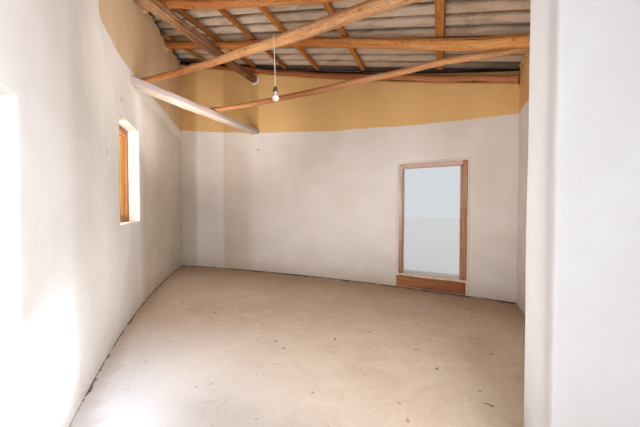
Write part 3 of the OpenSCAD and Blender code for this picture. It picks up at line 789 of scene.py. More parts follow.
# right wall under the eave, and the pier that stands out of it
right_step, right_level, right_line = 0.09, 2.0, 2.19
right_paint = lambda p, n: float(np.clip(p[2] - right_line, -1, 1)) if p[0] < right_face + 0.03 else -1.0
right_low = between(0.0, 0.1, right_level, step=right_step)
right_wall = masonry(
    "right_wall_plastered", lambda y, d: (right_face + d, y), between(front_y, 1.205, step=right_step),
    lambda x, y: right_low + up_to(right_level, bed(x), 7), [0.0, 0.13, 0.27, wall_t],
    lambda y, z, d, p: False, lambda p, n, lumps: lumps, right_paint, lambda p: 0.0, right_finish)
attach(right_wall, "root")
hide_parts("right_wall")
pier_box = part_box("front_pier")
pier_across = between(pier_box[0].x, right_face + 0.012, step=0.07)
pier = masonry("front_pier_plastered", lambda x, d: (x, pier_box[0].y + d), pier_across,
    lambda x, y: right_low + up_to(right_level, bed(x), 9),
    list(np.linspace(0, pier_box[1].y - pier_box[0].y, 6)), lambda y, z, d, p: False,
    lambda p, n, lumps: lumps * 0.7, lambda p, n: -1.0, lambda p: 0.0, pier_finish, arris=0.012)
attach(pier, "root")
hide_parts("front_pier")

# mud pressed up into the waves of the sheets along the wall heads
pitch, wave_h, sheet_t = 0.177, 0.051, 0.008
row_w, row_y, lap_x = 6 * pitch, 0.424, 0.150


def crest(u):
    """How high a wave stands at a place across it, as a share from its trough to its crest."""
    return (1 - math.cos(2 * math.pi * u / pitch)) / 2


def daub(obj, material, band):
    """Puts mud on the house in a wall's own limewash, with or without the painted band."""
    obj.data.materials.append(material)
    count = len(obj.data.vertices)
    mark(obj.data, "paint", np.full(count, 0.5 if band else -0.5))
    # the mud is darker by a fixed share
    mark(obj.data, "tone", np.full(count, 0.5))
    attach(obj, "root")


def wall_head(name, plan, columns, near, far, material, seed, full=0.75, foot=None):
    """A ragged bed of mud on a wall's top, which fills the waves over it by a varying share and hangs over
    the wall's face. foot gives the height that it comes down to, where that isn't left to chance."""
    rings = []
    for c in columns:
        x, y = plan(c, near)
        fine = noise.noise(Vector((x * 31, y * 31, seed)))
        broad = noise.noise(Vector((x * 9, y * 9, seed + 5)))
        share = min(1.0, max(0.05, full + 0.5 * broad + 0.35 * fine))
        out = near - 0.004 - max(0.0, 0.034 * broad + 0.030 * fine)
        low = foot(x) if foot else bed(x) - 0.016 - max(0.0, 0.090 * broad + 0.060 * fine)
        ring = []
        inner, outer = far * 0.4 + near * 0.6, far * 0.7 + near * 0.3
        for d, on_top in ((out, 0), ((near + far) / 2, 0), (far, 0), (far, 1), (outer, 1), (inner, 1),
                (near + 0.016, 1), (out, 0.4)):
            x, y = plan(c, d)
            top = bed(x) + max(0.0, wave_h * crest(y - row_y) * share - 0.003)
            foot_z = low if d < near + 0.02 else bed(x) - 0.016
            ring.append((x, y, foot_z + (top - foot_z) * on_top))
        rings.append(ring)
    daub(loft(name, rings), material, True)


# the mud on the left and back wall heads is dark unpainted mud, its darkness also a painted shade for the
# deep gaps under the sheets
bare_mud = speckled("bare_mud", 16.0, ((0.3, shade(58, 42, 32)), (0.6, shade(104, 78, 58)),
    (0.8, shade(140, 110, 84))), 6.0, 0.7, bump=(0.8, 0.01), Roughness=0.95)


def left_head(angle, depth):
    """A place on top of the left wall, no further than the open front."""
    x, y = on_arc(left_arc, angle, depth)
    return x, max(y, front_y + 0.003)


left_run = np.linspace(angle_of(left_arc, corner) + 0.002, angle_of(left_arc, corner) + 0.37, 520)
back_run = np.linspace(back_ends[0] + 0.004, back_ends[1] - 0.003, 260)
right_run = np.linspace(front_y + 0.004, 1.19, 250)
head_far = wall_t - 0.004
wall_head("left_wall_head", left_head, left_run, -0.004, head_far, bare_mud, 3)
wall_head("back_wall_head", lambda a, d: on_arc(back_arc, a, d), back_run, ledge_d + 0.004, head_far,
    bare_mud, 7, 0.9, foot=lambda x: ledge_at(x) + 0.004)
wall_head("right_wall_head", lambda y, d: (right_face + d, y), right_run, -0.004, head_far, right_finish, 11)


# Round timbers. Poles of local wood, cut green and peeled by hand, laid into
# the walls with mud. They are crooked, with knots and long drying cracks.
wood, add, given, result = group("wood", {"Vector": (0.0, 0.0, 0.0), "Knot": 1.0,
    "Pale": shade(214, 160, 104), "Deep": shade(170, 108, 58), "Dark": shade(70, 42, 26),
    "Bark": shade(120, 78, 56), "Bark Share": 0.0, "Dirt": 0.3, "Flecks": 0.16, "Mottle": 0.3},
    ["Color", "Roughness", "Height"])
where = given["Vector"]
streak = cloudy(add, stretched(add, where, (1.6, 34.0, 34.0)), 1.0, 6.0, 0.62, 0.8)
fibre = cloudy(add, stretched(add, where, (7.0, 210.0, 210.0)), 1.0, 4.0, 0.6)
patch = cloudy(add, stretched(add, where, (1.8, 9.0, 9.0)), 1.0, 4.0, 0.6)
skin = cloudy(add, stretched(add, where, (5.0, 30.0, 30.0), (4.0, 2.0, 7.0)), 1.0, 6.0, 0.7, 1.2)
colour = mixed(add, ramp(add, streak, (0.34, 0.0), (0.62, 1.0)), given["Deep"], given["Pale"])
colour = mixed(add, ramp(add, patch, (0.42, 0.0), (0.68, 0.8)), colour, given["Deep"])
colour = mixed(add, ramp(add, fibre, (0.4, 0.28), (0.62, 0.0)), colour, given["Dark"])
bark = less(add, skin, less(add, 0.76, times(add, given["Bark Share"], 0.5)))
bark = times(add, bark, 14.0, clamp=True)
colour = mixed(add, times(add, bark, 0.85), colour, given["Bark"])
dirty = times(add, ramp(add, streak, (0.28, 1.0), (0.42, 0.0)), given["Dirt"])
colour = mixed(add, dirty, colour, given["Dark"])
flecks = specks_on(add, stretched(add, where, (0.35, 1.0, 1.0)), 62.0, given["Flecks"], 0.34)
colour = mixed(add, times(add, flecks, plus(add, given["Dirt"], 0.25)), colour, given["Dark"])
flake = cloudy(add, stretched(add, where, (26.0, 62.0, 62.0), (9.0, 3.0, 1.0)), 1.0, 5.0, 0.7, 1.0)
colour = mixed(add, times(add, ramp(add, flake, (0.5, 0.0), (0.62, 0.8)), given["Mottle"]), colour,
    given["Dark"])
colour = mixed(add, times(add, ramp(add, flake, (0.36, 0.8), (0.46, 0.0)), given["Mottle"]), colour,
    given["Pale"])
knot = plus(add, given["Knot"], times(add, less(add, fibre, 0.5), 0.010))
knot = plus(add, knot, times(add, less(add, skin, 0.5), 0.022))
heart = fade(add, knot, 0.003, 0.013, 0.85, 0.0)
halo = fade(add, knot, 0.008, 0.055, 0.6, 0.0)
rings = add("TexWave", {"Vector": add("CombineXYZ", {"X": knot}).outputs[0], "Scale": 24.0,
    "Distortion": 0.6}).outputs["Fac"]
colour = mixed(add, times(add, halo, plus(add, rings, 0.35)), colour, given["Deep"])
colour = mixed(add, heart, colour, given["Dark"])
height = plus(add, times(add, streak, 0.8), times(add, fibre, 0.3))
height = less(add, height, times(add, heart, 0.6))
height = plus(add, height, times(add, bark, 0.5))
height = less(add, height, times(add, flake, given["Mottle"]))
wood.links.new(colour, result["Color"])
wood.links.new(ramp(add, streak, (0.3, 0.8), (0.7, 0.55)), result["Roughness"])
wood.links.new(height, result["Height"])

# one drying crack that runs along a timber, at an angle round it
shake, add, given, result = group("shake", {"Vector": (0.0, 0.0, 0.0), "Angle": 0.0, "Turn": 0.0,
    "Width": 0.003, "From": 0.0, "To": 9.0, "Wander": 0.5}, ["Mask"])
parts = add("SeparateXYZ", {"Vector": given["Vector"]})
along = parts.outputs["X"]
sway = cloudy(add, add("CombineXYZ", {"X": along, "Y": given["Angle"]}).outputs[0], 2.2, 5.0, 0.6)
angle = plus(add, given["Angle"], times(add, given["Turn"], along))
angle = plus(add, angle, times(add, less(add, sway, 0.5), given["Wander"]))
cosine, sine = maths(add, "COSINE", angle), maths(add, "SINE", angle)
off = less(add, times(add, parts.outputs["Z"], cosine), times(add, parts.outputs["Y"], sine))
facing = plus(add, times(add, parts.outputs["Y"], cosine), times(add, parts.outputs["Z"], sine))
broken = cloudy(add, add("CombineXYZ", {"X": along, "Z": given["Angle"]}).outputs[0], 9.0, 3.0)
width = times(add, given["Width"], times(add, less(add, broken, 0.22), 2.6))
inside_it = times(add, less(add, width, maths(add, "ABSOLUTE", off)), 700.0, clamp=True)
begin = times(add, less(add, along, given["From"]), 9.0, clamp=True)
stop = times(add, less(add, given["To"], along), 9.0, clamp=True)
inside_it = times(add, inside_it, maths(add, "GREATER_THAN", facing, 0.0))
shake.links.new(times(add, inside_it, times(add, begin, stop)), result["Mask"])


def wood_finish(name, pale, deep, dark, dirt=0.3, shakes=(), relief=0.5, gloss=0.5, flecks=0.16,
        bark=(0.0, shade(120, 78, 56)), mottle=0.25, aged=None, start=0.0):
    """Wood in one piece's own tones, whose grain begins at start. shakes are (angle, turn, width, from, to,
    wander), bark is (share, colour), and aged (from, to, colour) tints the wood from one place along
    it to another: age on some timbers, painted shade on others."""
    material, add, shader = new_material(name, Roughness=0.7)
    shader.inputs["Specular IOR Level"].default_value = gloss
    where = add("Attribute", attribute_name="grain", attribute_type="GEOMETRY").outputs["Vector"]
    knots = add("Attribute", attribute_name="knot", attribute_type="GEOMETRY").outputs["Fac"]
    own = use_group(add, wood, {"Vector": where, "Knot": knots, "Pale": pale, "Deep": deep, "Dark": dark,
        "Dirt": dirt, "Flecks": flecks, "Bark Share": bark[0], "Bark": bark[1], "Mottle": mottle})
    colour, height = own.outputs["Color"], own.outputs["Height"]
    for angle, turn, width, begin, end, wander in shakes:
        values = {"Vector": where, "Angle": angle, "Turn": turn, "Width": width, "From": start + begin,
            "To": start + end, "Wander": wander}
        mask = use_group(add, shake, values).outputs["Mask"]
        colour = mixed(add, times(add, mask, 0.9), colour, tuple(c * 0.45 for c in dark[:3]) + (1.0,))
        height = less(add, height, times(add, mask, 2.0))
    if aged:
        along = add("SeparateXYZ", {"Vector": where}).outputs["X"]
        share = fade(add, along, start + aged[0], start + aged[1])
        colour = mixed(add, share, colour, mixed(add, 1.0, colour, aged[2], "MULTIPLY"))
    feed(material, shader, Base_Color=colour, Roughness=own.outputs["Roughness"],
        Height=(height, relief, 0.004))
    return material


def core_of(node):
    """Centres and radii of a CAD timber's rings of 12 points, from its start to its end."""
    points = np.unique(np.round([v.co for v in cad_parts[node].data.vertices], 5), axis=0)
    axis = np.ptp(points, axis=0).argmax()
    order = points[points[:, axis].argsort()].reshape(-1, 12, 3)
    centres = order.mean(axis=1)
    return np.column_stack([centres, np.linalg.norm(order - centres[:, None], axis=2).mean(axis=1)])


pole_grain, sawn_grain = 3.1, 1.7


def round_timber(name, node, material, seed, sides=36, step=0.028, knots=(), flat=0.05, rough=0.0018,
        cracks=()):
    """A peeled pole along its CAD node: a wavy, knotty skin. knots are (share along, angle, size), and
    cracks, which are sunk in it, (angle, turn, depth, from, to)."""
    core = core_of(node)
    length = np.linalg.norm(np.diff(core[:, :3], axis=0), axis=1).sum()
    route = smooth_route(core, max(8, int(length / step)))
    path, radius = route[:, :3], route[:, 3]
    ahead, side, up = directions(path, level=True)
    way = np.concatenate([[0], np.cumsum(np.linalg.norm(np.diff(path, axis=0), axis=1))])
    turn = np.linspace(0, 2 * math.pi, sides, endpoint=False)
    rings = np.zeros((len(path), sides, 3))
    grain = np.zeros((len(path), sides, 3))
    near = np.full((len(path), sides), 1.0)
    for i in range(len(path)):
        for j, t in enumerate(turn):
            c, s = math.cos(t), math.sin(t)
            at = Vector((way[i] * 1.3 + seed * 17, c * 0.9, s * 0.9))
            dent = flat * 0.5 * noise.noise(Vector((way[i] * 3.5, c * 1.8, s * 1.8 + seed)))
            r = radius[i] * (1 + flat * noise.noise(at) + dent)
            r += rough * noise.noise(Vector((way[i] * 7, c * 4.5, s * 4.5 + seed * 3)))
            for place, angle, size in knots:
                across = (t - angle + math.pi) % (2 * math.pi) - math.pi
                d = math.hypot(way[i] - place * length, across * radius[i])
                near[i, j] = min(near[i, j], d * 0.02 / size)
                swelling = 0.22 * size * math.exp(-(d / size) ** 2)
                r += swelling - 0.16 * size * math.exp(-(d / size / 0.35) ** 2)
            for angle, bend, depth, start, end in cracks:
                across = (t - angle - bend * way[i] + math.pi) % (2 * math.pi) - math.pi
                if start < way[i] < end:
                    r -= depth * math.exp(-(across * radius[i] / 0.006) ** 2)
            rings[i, j] = path[i] + r * (side[i] * c + up[i] * s)
            grain[i, j] = (way[i] + seed * pole_grain, r * c, r * s)
    obj = loft(name, rings, material)
    mark(obj.data, "grain", grain.reshape(-1, 3))
    mark(obj.data, "knot", near.ravel())
    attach(obj, "root")
    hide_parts(node)
    return obj


pole_finish = wood_finish("peeled_pole", shade(230, 158, 92), shade(194, 116, 56), shade(84, 48, 28),
    dirt=0.4, bark=(0.26, shade(136, 88, 60)), mottle=0.35,
    shakes=[(2.6, 0.1, 0.0016, 0.5, 30, 0.9), (4.4, -0.08, 0.0014, 0.0, 30, 0.8)])
for number in (1, 2, 3, 4):
    pole = round_timber(f"pole_{number}_peeled", f"roof_pole_{number}", pole_finish, number,
        knots=[(0.22, 4.3, 0.03), (0.41, 3.5, 0.034), (0.55, 5.2, 0.028), (0.71, 4.0, 0.032),
        (0.86, 4.9, 0.03)])
# painted shade: aged darkens the back pole's left end, which lies in shadow
back_pole_finish = wood_finish("back_pole", shade(243, 178, 108), shade(214, 140, 72), shade(84, 50, 28),
    dirt=0.4, bark=(0.14, shade(176, 114, 66)), relief=0.7, mottle=0.25,
    shakes=[(2.86, 0.0, 0.0042, 2.4, 5.2, 0.25), (3.4, -0.04, 0.002, 1.2, 3.0, 0.6)],
    aged=(4.2, 2.6, shade(208, 182, 138)), start=5 * pole_grain)
pole = round_timber("pole_5_peeled", "roof_pole_5", back_pole_finish, 5, sides=64,
    knots=[(0.34, 4.2, 0.03), (0.58, 4.6, 0.03), (0.925, 3.4, 0.026), (0.47, 3.8, 0.026), (0.72, 3.7, 0.026)])

front_tie_finish = wood_finish("front_tie_pole", shade(192, 144, 96), shade(166, 108, 60), shade(96, 60, 38),
    dirt=0.5, flecks=0.2, relief=1.0, bark=(0.34, shade(136, 98, 74)), mottle=0.5,
    aged=(1.2, 0.3, shade(255, 232, 190)), start=6 * pole_grain)
tie = round_timber("front_tie_pole_peeled", "tie_pole_front", front_tie_finish, 6, sides=40,
    knots=[(0.14, 3.6, 0.02), (0.27, 4.4, 0.022), (0.36, 3.4, 0.024), (0.5, 4.2, 0.026), (0.62, 3.5, 0.024),
    (0.75, 4.5, 0.026), (0.84, 3.8, 0.03)], rough=0.0034)
back_tie_finish = wood_finish("back_tie_pole", shade(248, 198, 142), shade(228, 164, 104), shade(128, 80, 50),
    dirt=0.4, flecks=0.2, bark=(0.26, shade(200, 144, 100)), relief=0.8, mottle=0.45,
    aged=(3.0, 1.3, shade(188, 162, 140)), start=7 * pole_grain)
tie = round_timber("back_tie_pole_peeled", "tie_pole_back", back_tie_finish, 7, sides=32,
    knots=[(0.3, 4.2, 0.018), (0.45, 3.6, 0.022), (0.6, 4.6, 0.018), (0.8, 4.0, 0.022)], rough=0.003)
wall_pole_finish = wood_finish("wall_pole", shade(214, 146, 92), shade(182, 112, 64), shade(92, 56, 36),
    dirt=0.4, bark=(0.42, shade(178, 134, 92)), mottle=0.4, aged=(4.2, 2.6, shade(216, 190, 164)),
    start=8 * pole_grain)
tie = round_timber("wall_pole_peeled", "wall_pole", wall_pole_finish, 8, sides=32,
    knots=[(0.2, 4.4, 0.02), (0.33, 4.6, 0.022), (0.42, 4.2, 0.018), (0.56, 4.8, 0.02), (0.7, 4.5, 0.02),
    (0.86, 4.4, 0.022), (0.95, 4.6, 0.02)], rough=0.0028)
old_finish = wood_finish("old_beam_wood", shade(216, 168, 116), shade(156, 106, 66), shade(62, 40, 26),
    dirt=0.7, flecks=0.3, relief=1.0, mottle=0.5, bark=(0.45, shade(146, 108, 84)),
    aged=(0.3, 1.3, shade(182, 160, 128)), start=9 * pole_grain,
    shakes=[(3.5, 0.12, 0.0036, -9, 9, 0.6), (4.6, -0.1, 0.003, -9, 9, 0.7), (2.9, 0.05, 0.003, -9, 9, 0.6),
    (4.0, 0.2, 0.0024, -9, 9, 0.9)])
old = round_timber("old_beam_split", "old_beam", old_finish, 9, sides=72, step=0.022,
    knots=[(0.3, 3.6, 0.036), (0.62, 4.0, 0.03)], flat=0.12, rough=0.010,
    cracks=[(3.9, 0.1, 0.014, 0.1, 2.4), (2.6, -0.1, 0.012, 0.0, 1.9), (4.7, 0.06, 0.010, 0.3, 2.5)])


def crossing(node, inside):
    """Where a timber comes out of a wall: the place, its way on into the room and its radius there."""
    core = smooth_route(core_of(node), 400)
    for a, b in zip(core, core[1:]):
        if inside(a) != inside(b):
            way = (b - a)[:3] * (1 if inside(b) else -1)
            yield b[:3], way / np.linalg.norm(way), b[3]


def collar(name, place, way, r, material, seed, band=True, spread=1.0, reach=0.03):
    """Mud smeared round the end of a timber where it goes into a wall."""
    way = np.array(way, float)
    side = np.cross((0, 0, 1.0), way)
    side /= np.linalg.norm(side)
    up = np.cross(way, side)
    rings = []
    swells = ((0.92, reach * 1.1), (1.04, reach), (1.16, reach * 0.62), (1.34, reach * 0.25), (1.55, -0.002),
        (1.5, -0.035))
    for size, ahead in swells:
        ring = []
        for t in np.linspace(0, 2 * math.pi, 20, endpoint=False):
            n = noise.noise(Vector((math.cos(t) * 1.3, math.sin(t) * 1.3, seed * 3.7 + size * 1.5)))
            rr = r * (1 + (size - 1) * spread * (1 + 0.9 * n))
            ring.append(place + way * (ahead * (1 + 1.1 * n)) + rr * (side * math.cos(t) + up * math.sin(t)))
        rings.append(ring)
    daub(loft(name, rings[::-1]), material, band)


bed_rings = []
for a in np.linspace(back_ends[0] + 0.0256, back_ends[1] - 0.0345, 240):
    x, y = on_arc(back_arc, a, 0)
    lump = 0.5 + noise.noise(Vector((x * 7, 3, 1))) + 0.5 * noise.noise(Vector((x * 23, 5, 2)))
    outline = ((0.012, -0.020), (-0.004, -0.012), (-0.005 - 0.004 * lump, 0.004),
        (0.004, 0.014 + 0.012 * lump), (0.030, 0.030 + 0.012 * lump), (0.110, 0.034), (0.110, -0.020))
    bed_rings.append([(*on_arc(back_arc, a, d), ledge_at(x) + z) for d, z in outline])
daub(loft("wall_pole_bedding", bed_rings), back_finish, True)


in_left = lambda p: past_face(left_arc, p) < 0
in_back = lambda p: past_face(back_arc, p) < 0
in_right = lambda p: p[0] < right_face
left_way, old_way, back_in_way, right_way = (0.85, 0.53, 0), (0.7, 0.7, 0), (0, -1, 0), (-1, 0, 0)
seed = 0
for node, inside, face, material in (
        [(f"roof_pole_{n}", in_left, left_way, left_finish) for n in (1, 2, 3, 4, 5)]
        + [("old_beam", in_left, old_way, left_finish), ("old_beam", in_back, back_in_way, back_finish)]
        + [(f"roof_pole_{n}", in_right, right_way, right_finish) for n in (1, 2, 4, 5)]
        + [(f"tie_pole_{n}", in_right, right_way, right_finish) for n in ("front", "back")]):
    for place, way, r in crossing(node, inside):
        seed += 1
        side_way = np.array(face, float) + 0.6 * np.array([way[0], way[1], 0])
        small = dict(band=False, spread=0.7, reach=0.02) if face == back_in_way else {}
        collar(f"mud_round_{node}_{seed}", place, side_way / np.linalg.norm(side_way), r, material, seed,
            **small)


# Sawn timber. Battens across the poles, the white tie beam, and the frames of
# the doorway and the window, all sawn and nailed on site.
def sawn(name, start, end, across, width, thick, material, seed, edge=0.003, wobble=0.0015, bow=0.0):
    """A sawn length from start to end, as wide as width along across, a little worn and uneven."""
    start, end = np.array(start, float), np.array(end, float)
    long = np.linalg.norm(end - start)
    ahead = (end - start) / long
    wide = np.array(across, float)
    wide -= ahead * (wide @ ahead)
    wide /= np.linalg.norm(wide)
    deep = np.cross(ahead, wide)
    spacing = 0.05
    middle = np.linspace(0, long, max(3, int(long / spacing)))[1:-1]
    stations = [0.0, edge, *middle, long - edge, long]
    rings, grain = [], []
    for s in stations:
        inset = edge if s in (0.0, long) else 0.0
        a, b = width / 2 - inset, thick / 2 - inset
        outline = []
        for sa, sb in ((1, 1), (-1, 1), (-1, -1), (1, -1)):
            corner_points = [(sa * a, sb * (b - edge)), (sa * (a - edge * 0.3), sb * (b - edge * 0.3)),
                (sa * (a - edge), sb * b)]
            if sa * sb < 0:
                corner_points = corner_points[::-1]
            outline += corner_points
            if (sa, sb) in ((1, 1), (-1, -1)):
                outline += [(sa * a * f, sb * b) for f in (0.5, 0, -0.5)]
            else:
                outline += [(sa * a, sb * b * f) for f in (0.33, -0.33)]
        ring = []
        for u, v in outline:
            at = Vector((s * 5 + seed * 11, u * 14, v * 14))
            u2 = u + wobble * noise.noise(at) + bow * math.sin(math.pi * s / long)
            v2 = v + wobble * noise.noise(at + Vector((3, 7, 1)))
            ring.append(start + ahead * s + wide * u2 + deep * v2)
            grain.append((s + seed * sawn_grain, u, v))
        rings.append(ring)
    obj = loft(name, rings, material)
    mark(obj.data, "grain", grain)
    mark(obj.data, "knot", np.ones(len(grain)))
    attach(obj, "root")
    return obj


# the three battens on the left are darker than the others
paler_batten = wood_finish("batten_wood", shade(212, 142, 66), shade(168, 100, 38), shade(66, 40, 22), dirt=0.6,
    gloss=0.3, flecks=0.1, mottle=0.4)
darker_batten = wood_finish("batten_wood_dark", shade(178, 112, 54), shade(130, 76, 34), shade(52, 32, 20),
    dirt=0.6, gloss=0.3, flecks=0.1, mottle=0.4)
tilted = (math.cos(slope), 0, -math.sin(slope))
drop = np.array([-math.sin(slope), 0, -math.cos(slope)]) * 0.0225
for number, (x, width, skew, bend) in enumerate(((-2.200, 0.050, 0.0, 0.003), (-1.315, 0.055, 0.004, -0.004),
        (-0.735, 0.050, -0.004, 0.005), (-0.200, 0.050, 0.003, -0.004), (0.500, 0.055, -0.003, 0.004),
        (1.474, 0.075, 0.0, 0.002)), 1):
    low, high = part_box(f"batten_{number}")
    batten = sawn(f"batten_{number}_sawn", np.array([x - skew, low.y, bed(x)]) + drop,
        np.array([x + skew, high.y, bed(x)]) + drop, tilted, width, 0.045,
        paler_batten if number > 3 else darker_batten, seed=number, bow=bend, wobble=0.0022)
    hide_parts(f"batten_{number}")

# white tie beam: a plank laid flat from wall to wall, whitewashed with them
beam_white, add, shader = new_material("whitewashed_plank", Roughness=0.88)
where = add("Attribute", attribute_name="grain", attribute_type="GEOMETRY").outputs["Vector"]
bare = use_group(add, wood, {"Vector": where, "Pale": shade(206, 176, 140), "Deep": shade(168, 130, 92),
    "Dark": shade(84, 60, 42), "Dirt": 0.2})
cloud = cloudy(add, where, 5.0, 5.0, 0.6)
thin = cloudy(add, stretched(add, where, (4.0, 22.0, 22.0)), 1.0, 6.0, 0.7)
coat = ramp(add, cloud, (0.35, shade(184, 167, 151)), (0.65, shade(201, 184, 168)))
colour = mixed(add, ramp(add, thin, (0.6, 0.0), (0.7, 0.75)), coat, bare.outputs["Color"])
part = add("SeparateXYZ", {"Vector": where})
# painted shade: one narrow side of the plank is darkened to a lilac grey, as the side turned from the light
side = fade(add, plus(add, part.outputs["Y"], times(add, thin, 0.008)), 0.072, 0.078)
colour = mixed(add, times(add, side, 0.7), colour, shade(166, 150, 150))
beam_start = 21 * sawn_grain
far_end = fade(add, part.outputs["X"], beam_start + 0.3, beam_start + 1.6)
colour = mixed(add, far_end, colour, mixed(add, 1.0, colour, shade(244, 238, 230), "MULTIPLY"))
marks = specks_on(add, where, 24.0, 0.2, 0.2)
colour = mixed(add, times(add, marks, 0.6), colour, shade(120, 92, 72))
feed(beam_white, shader, Base_Color=colour, Height=(plus(add, thin, bare.outputs["Height"]), 0.4, 0.004))
low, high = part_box("white_tie_beam")
beam_ends = [((low.x + high.x) / 2, y, (low.z + high.z) / 2) for y in (low.y, high.y)]
beam = sawn("white_tie_beam_plank", *beam_ends, (1, 0, 0), high.x - low.x, high.z - low.z, beam_white,
    seed=21, edge=0.009, wobble=0.006)
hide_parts("white_tie_beam")

# doorway: frame flush with the plaster, board and worn ledge under it
frame_finish = wood_finish("door_frame_wood", shade(202, 158, 128), shade(172, 122, 90), shade(88, 58, 42),
    dirt=0.35, gloss=0.6, aged=(1.0, 0.2, shade(249, 221, 203)), start=32 * sawn_grain)
faded_finish = wood_finish("door_frame_faded", shade(230, 206, 192), shade(208, 176, 156), shade(118, 86, 68),
    dirt=0.25, gloss=0.6, aged=(1.0, 0.25, shade(209, 177, 153)), start=31 * sawn_grain)
board_finish = wood_finish("threshold_board_wood", shade(192, 130, 80), shade(152, 94, 52), shade(66, 40, 26),
    dirt=0.6, aged=(0.6, 0.1, shade(232, 206, 184)), start=35 * sawn_grain)
jamb_w, proud, frame_d, head_h, door_foot = 0.046, 0.004, 0.090, 0.056, 0.278


def on_back(angle, depth, z):
    """A point at an angle along the back wall, a depth into it and a height."""
    return (*on_arc(back_arc, angle, depth), z)


middle_d, depth_all = (frame_d - proud) / 2, frame_d + proud
half_jamb = jamb_w / 2 / back_arc[1]
round_way = lambda a: (-math.sin(a), math.cos(a), 0)
into_room = lambda a: (-math.cos(a), -math.sin(a), 0)
for side, a, edge_a, finish, seed in (("left", door_left - half_jamb, door_left, faded_finish, 31),
                                      ("right", door_right + half_jamb, door_right, frame_finish, 32)):
    jamb = sawn(f"door_jamb_{side}_planed", on_back(a, middle_d, door_foot), on_back(a, middle_d, door_top),
        round_way(edge_a), jamb_w, depth_all, finish, seed, edge=0.004)
    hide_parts(f"door_jamb_{side}")
stop_a = door_right + (jamb_w + 0.017) / back_arc[1]
stop = sawn("door_stop_right", on_back(stop_a, 0.06, door_foot), on_back(stop_a, 0.06, door_top - head_h),
    round_way(stop_a), 0.034, 0.060, frame_finish, seed=33, edge=0.003)
head_ends = [on_back(a, middle_d, door_top - head_h / 2) for a in (door_right + 2 * half_jamb,
    door_left - 2 * half_jamb)]
head = sawn("door_head_planed", *head_ends, (0, 0, 1), head_h, depth_all, faded_finish, seed=34, edge=0.004)
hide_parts("door_head")
board_z, board_d, ledge_mid_z, ledge_mid_d = 0.179, 0.009, 0.264, 0.042
board = sawn("threshold_board_nailed", on_back(door_right + 0.0005, board_d, board_z),
    on_back(door_left + 0.0016, board_d, board_z), (0, 0, 1), 0.142, 0.036, board_finish, seed=35, edge=0.005,
    wobble=0.005)
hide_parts("threshold_board")
cement = speckled("worn_cement", 9.0, ((0.3, shade(168, 148, 126)), (0.5, shade(230, 214, 194)),
    (0.75, shade(196, 178, 154))), 6.0, 0.7, bump=(0.5, 0.006), Roughness=0.8)
ledge = sawn("threshold_ledge_cement", on_back(door_right, ledge_mid_d, ledge_mid_z),
    on_back(door_left, ledge_mid_d, ledge_mid_z), (0, 0, 1), 0.028, 0.096, cement, seed=36, edge=0.006,
    wobble=0.004)
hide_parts("threshold_ledge")

# window: a plank shutter in a deep timber frame
win_member, win_d, reveal = 0.050, 0.060, 0.100


def on_left(angle, depth, z):
    """A point at an angle along the left wall, a depth into it and a height."""
    return (*on_arc(left_arc, angle, depth), z)


window_wood = wood_finish("window_wood", shade(196, 134, 84), shade(156, 96, 54), shade(74, 44, 28), dirt=0.4)
board_wood = wood_finish("shutter_wood", shade(240, 186, 92), shade(216, 146, 56), shade(120, 74, 36),
    dirt=0.2)
half = win_member / 2 / left_arc[1]
mid_d = reveal + win_d / 2
inner = (window_far + 2 * half, window_near - 2 * half)
for name, (a, b), (low, high), across, seed in (
        ("window_stile_far", (window_far + half,) * 2, window_z, round_way(window_far), 41),
        ("window_stile_near", (window_near - half,) * 2, window_z, round_way(window_near), 42),
        ("window_head", inner, (window_z[1] - win_member / 2,) * 2, (0, 0, 1), 43),
        ("window_foot", inner, (window_z[0] + win_member / 2,) * 2, (0, 0, 1), 44)):
    part = sawn(name, on_left(a, mid_d, low), on_left(b, mid_d, high), across, win_member, win_d, window_wood,
        seed)
    if name == "window_stile_far":
        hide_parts("window_frame")
shutter_ends = (window_far + 2 * half, window_near - (win_member + 0.012) / left_arc[1])
board_count = 4
board_a = (shutter_ends[1] - shutter_ends[0]) / board_count
shutter_z = (window_z[0] + win_member, window_z[1] - win_member - 0.012)
for number in range(board_count):
    a = shutter_ends[0] + board_a * (number + 0.5)
    plank = sawn(f"shutter_board_{number + 1}", on_left(a, reveal + 0.0325, shutter_z[0]),
        on_left(a, reveal + 0.0325, shutter_z[1]), round_way(a), board_a * left_arc[1] - 0.003, 0.022,
        board_wood, seed=50 + number, edge=0.002)
    if number == 0:
        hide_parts("window_shutter")


# Nails. Round-headed wire nails, driven a little unevenly, hold the shutter's
# boards, the window frame, the door frame and the threshold board.
fixing_tree = bpy.data.node_groups.new("fixings", "GeometryNodeTree")
for key, kind in (("Places", "NodeSocketGeometry"), ("Fixing", "NodeSocketObject"),
        ("Size", "NodeSocketFloat"), ("Uneven", "NodeSocketFloat"), ("Seed", "NodeSocketInt"),
        ("Finish", "NodeSocketMaterial")):
    fixing_tree.interface.new_socket(key, in_out="INPUT", socket_type=kind)
fixing_tree.interface.new_socket("Fixings", in_out="OUTPUT", socket_type="NodeSocketGeometry")
put = adder(fixing_tree, "")
given = put("NodeGroupInput").outputs
aim = put("GeometryNodeInputNamedAttribute", {"Name": "aim"}, data_type="FLOAT_VECTOR").outputs["Attribute"]
upright = put("FunctionNodeAlignRotationToVector", {"Vector": aim}, axis="Z").outputs["Rotation"]
shape = put("GeometryNodeObjectInfo", {"Object": given["Fixing"]}).outputs["Geometry"]
least, most = 0.85, 1.15
vary = put("FunctionNodeRandomValue", {2: least, 3: most, "Seed": given["Seed"]},
    data_type="FLOAT").outputs[1]
tip = put("FunctionNodeRandomValue", {0: (-1, -1, -3), 1: (1, 1, 3), "Seed": given["Seed"]},
    data_type="FLOAT_VECTOR")
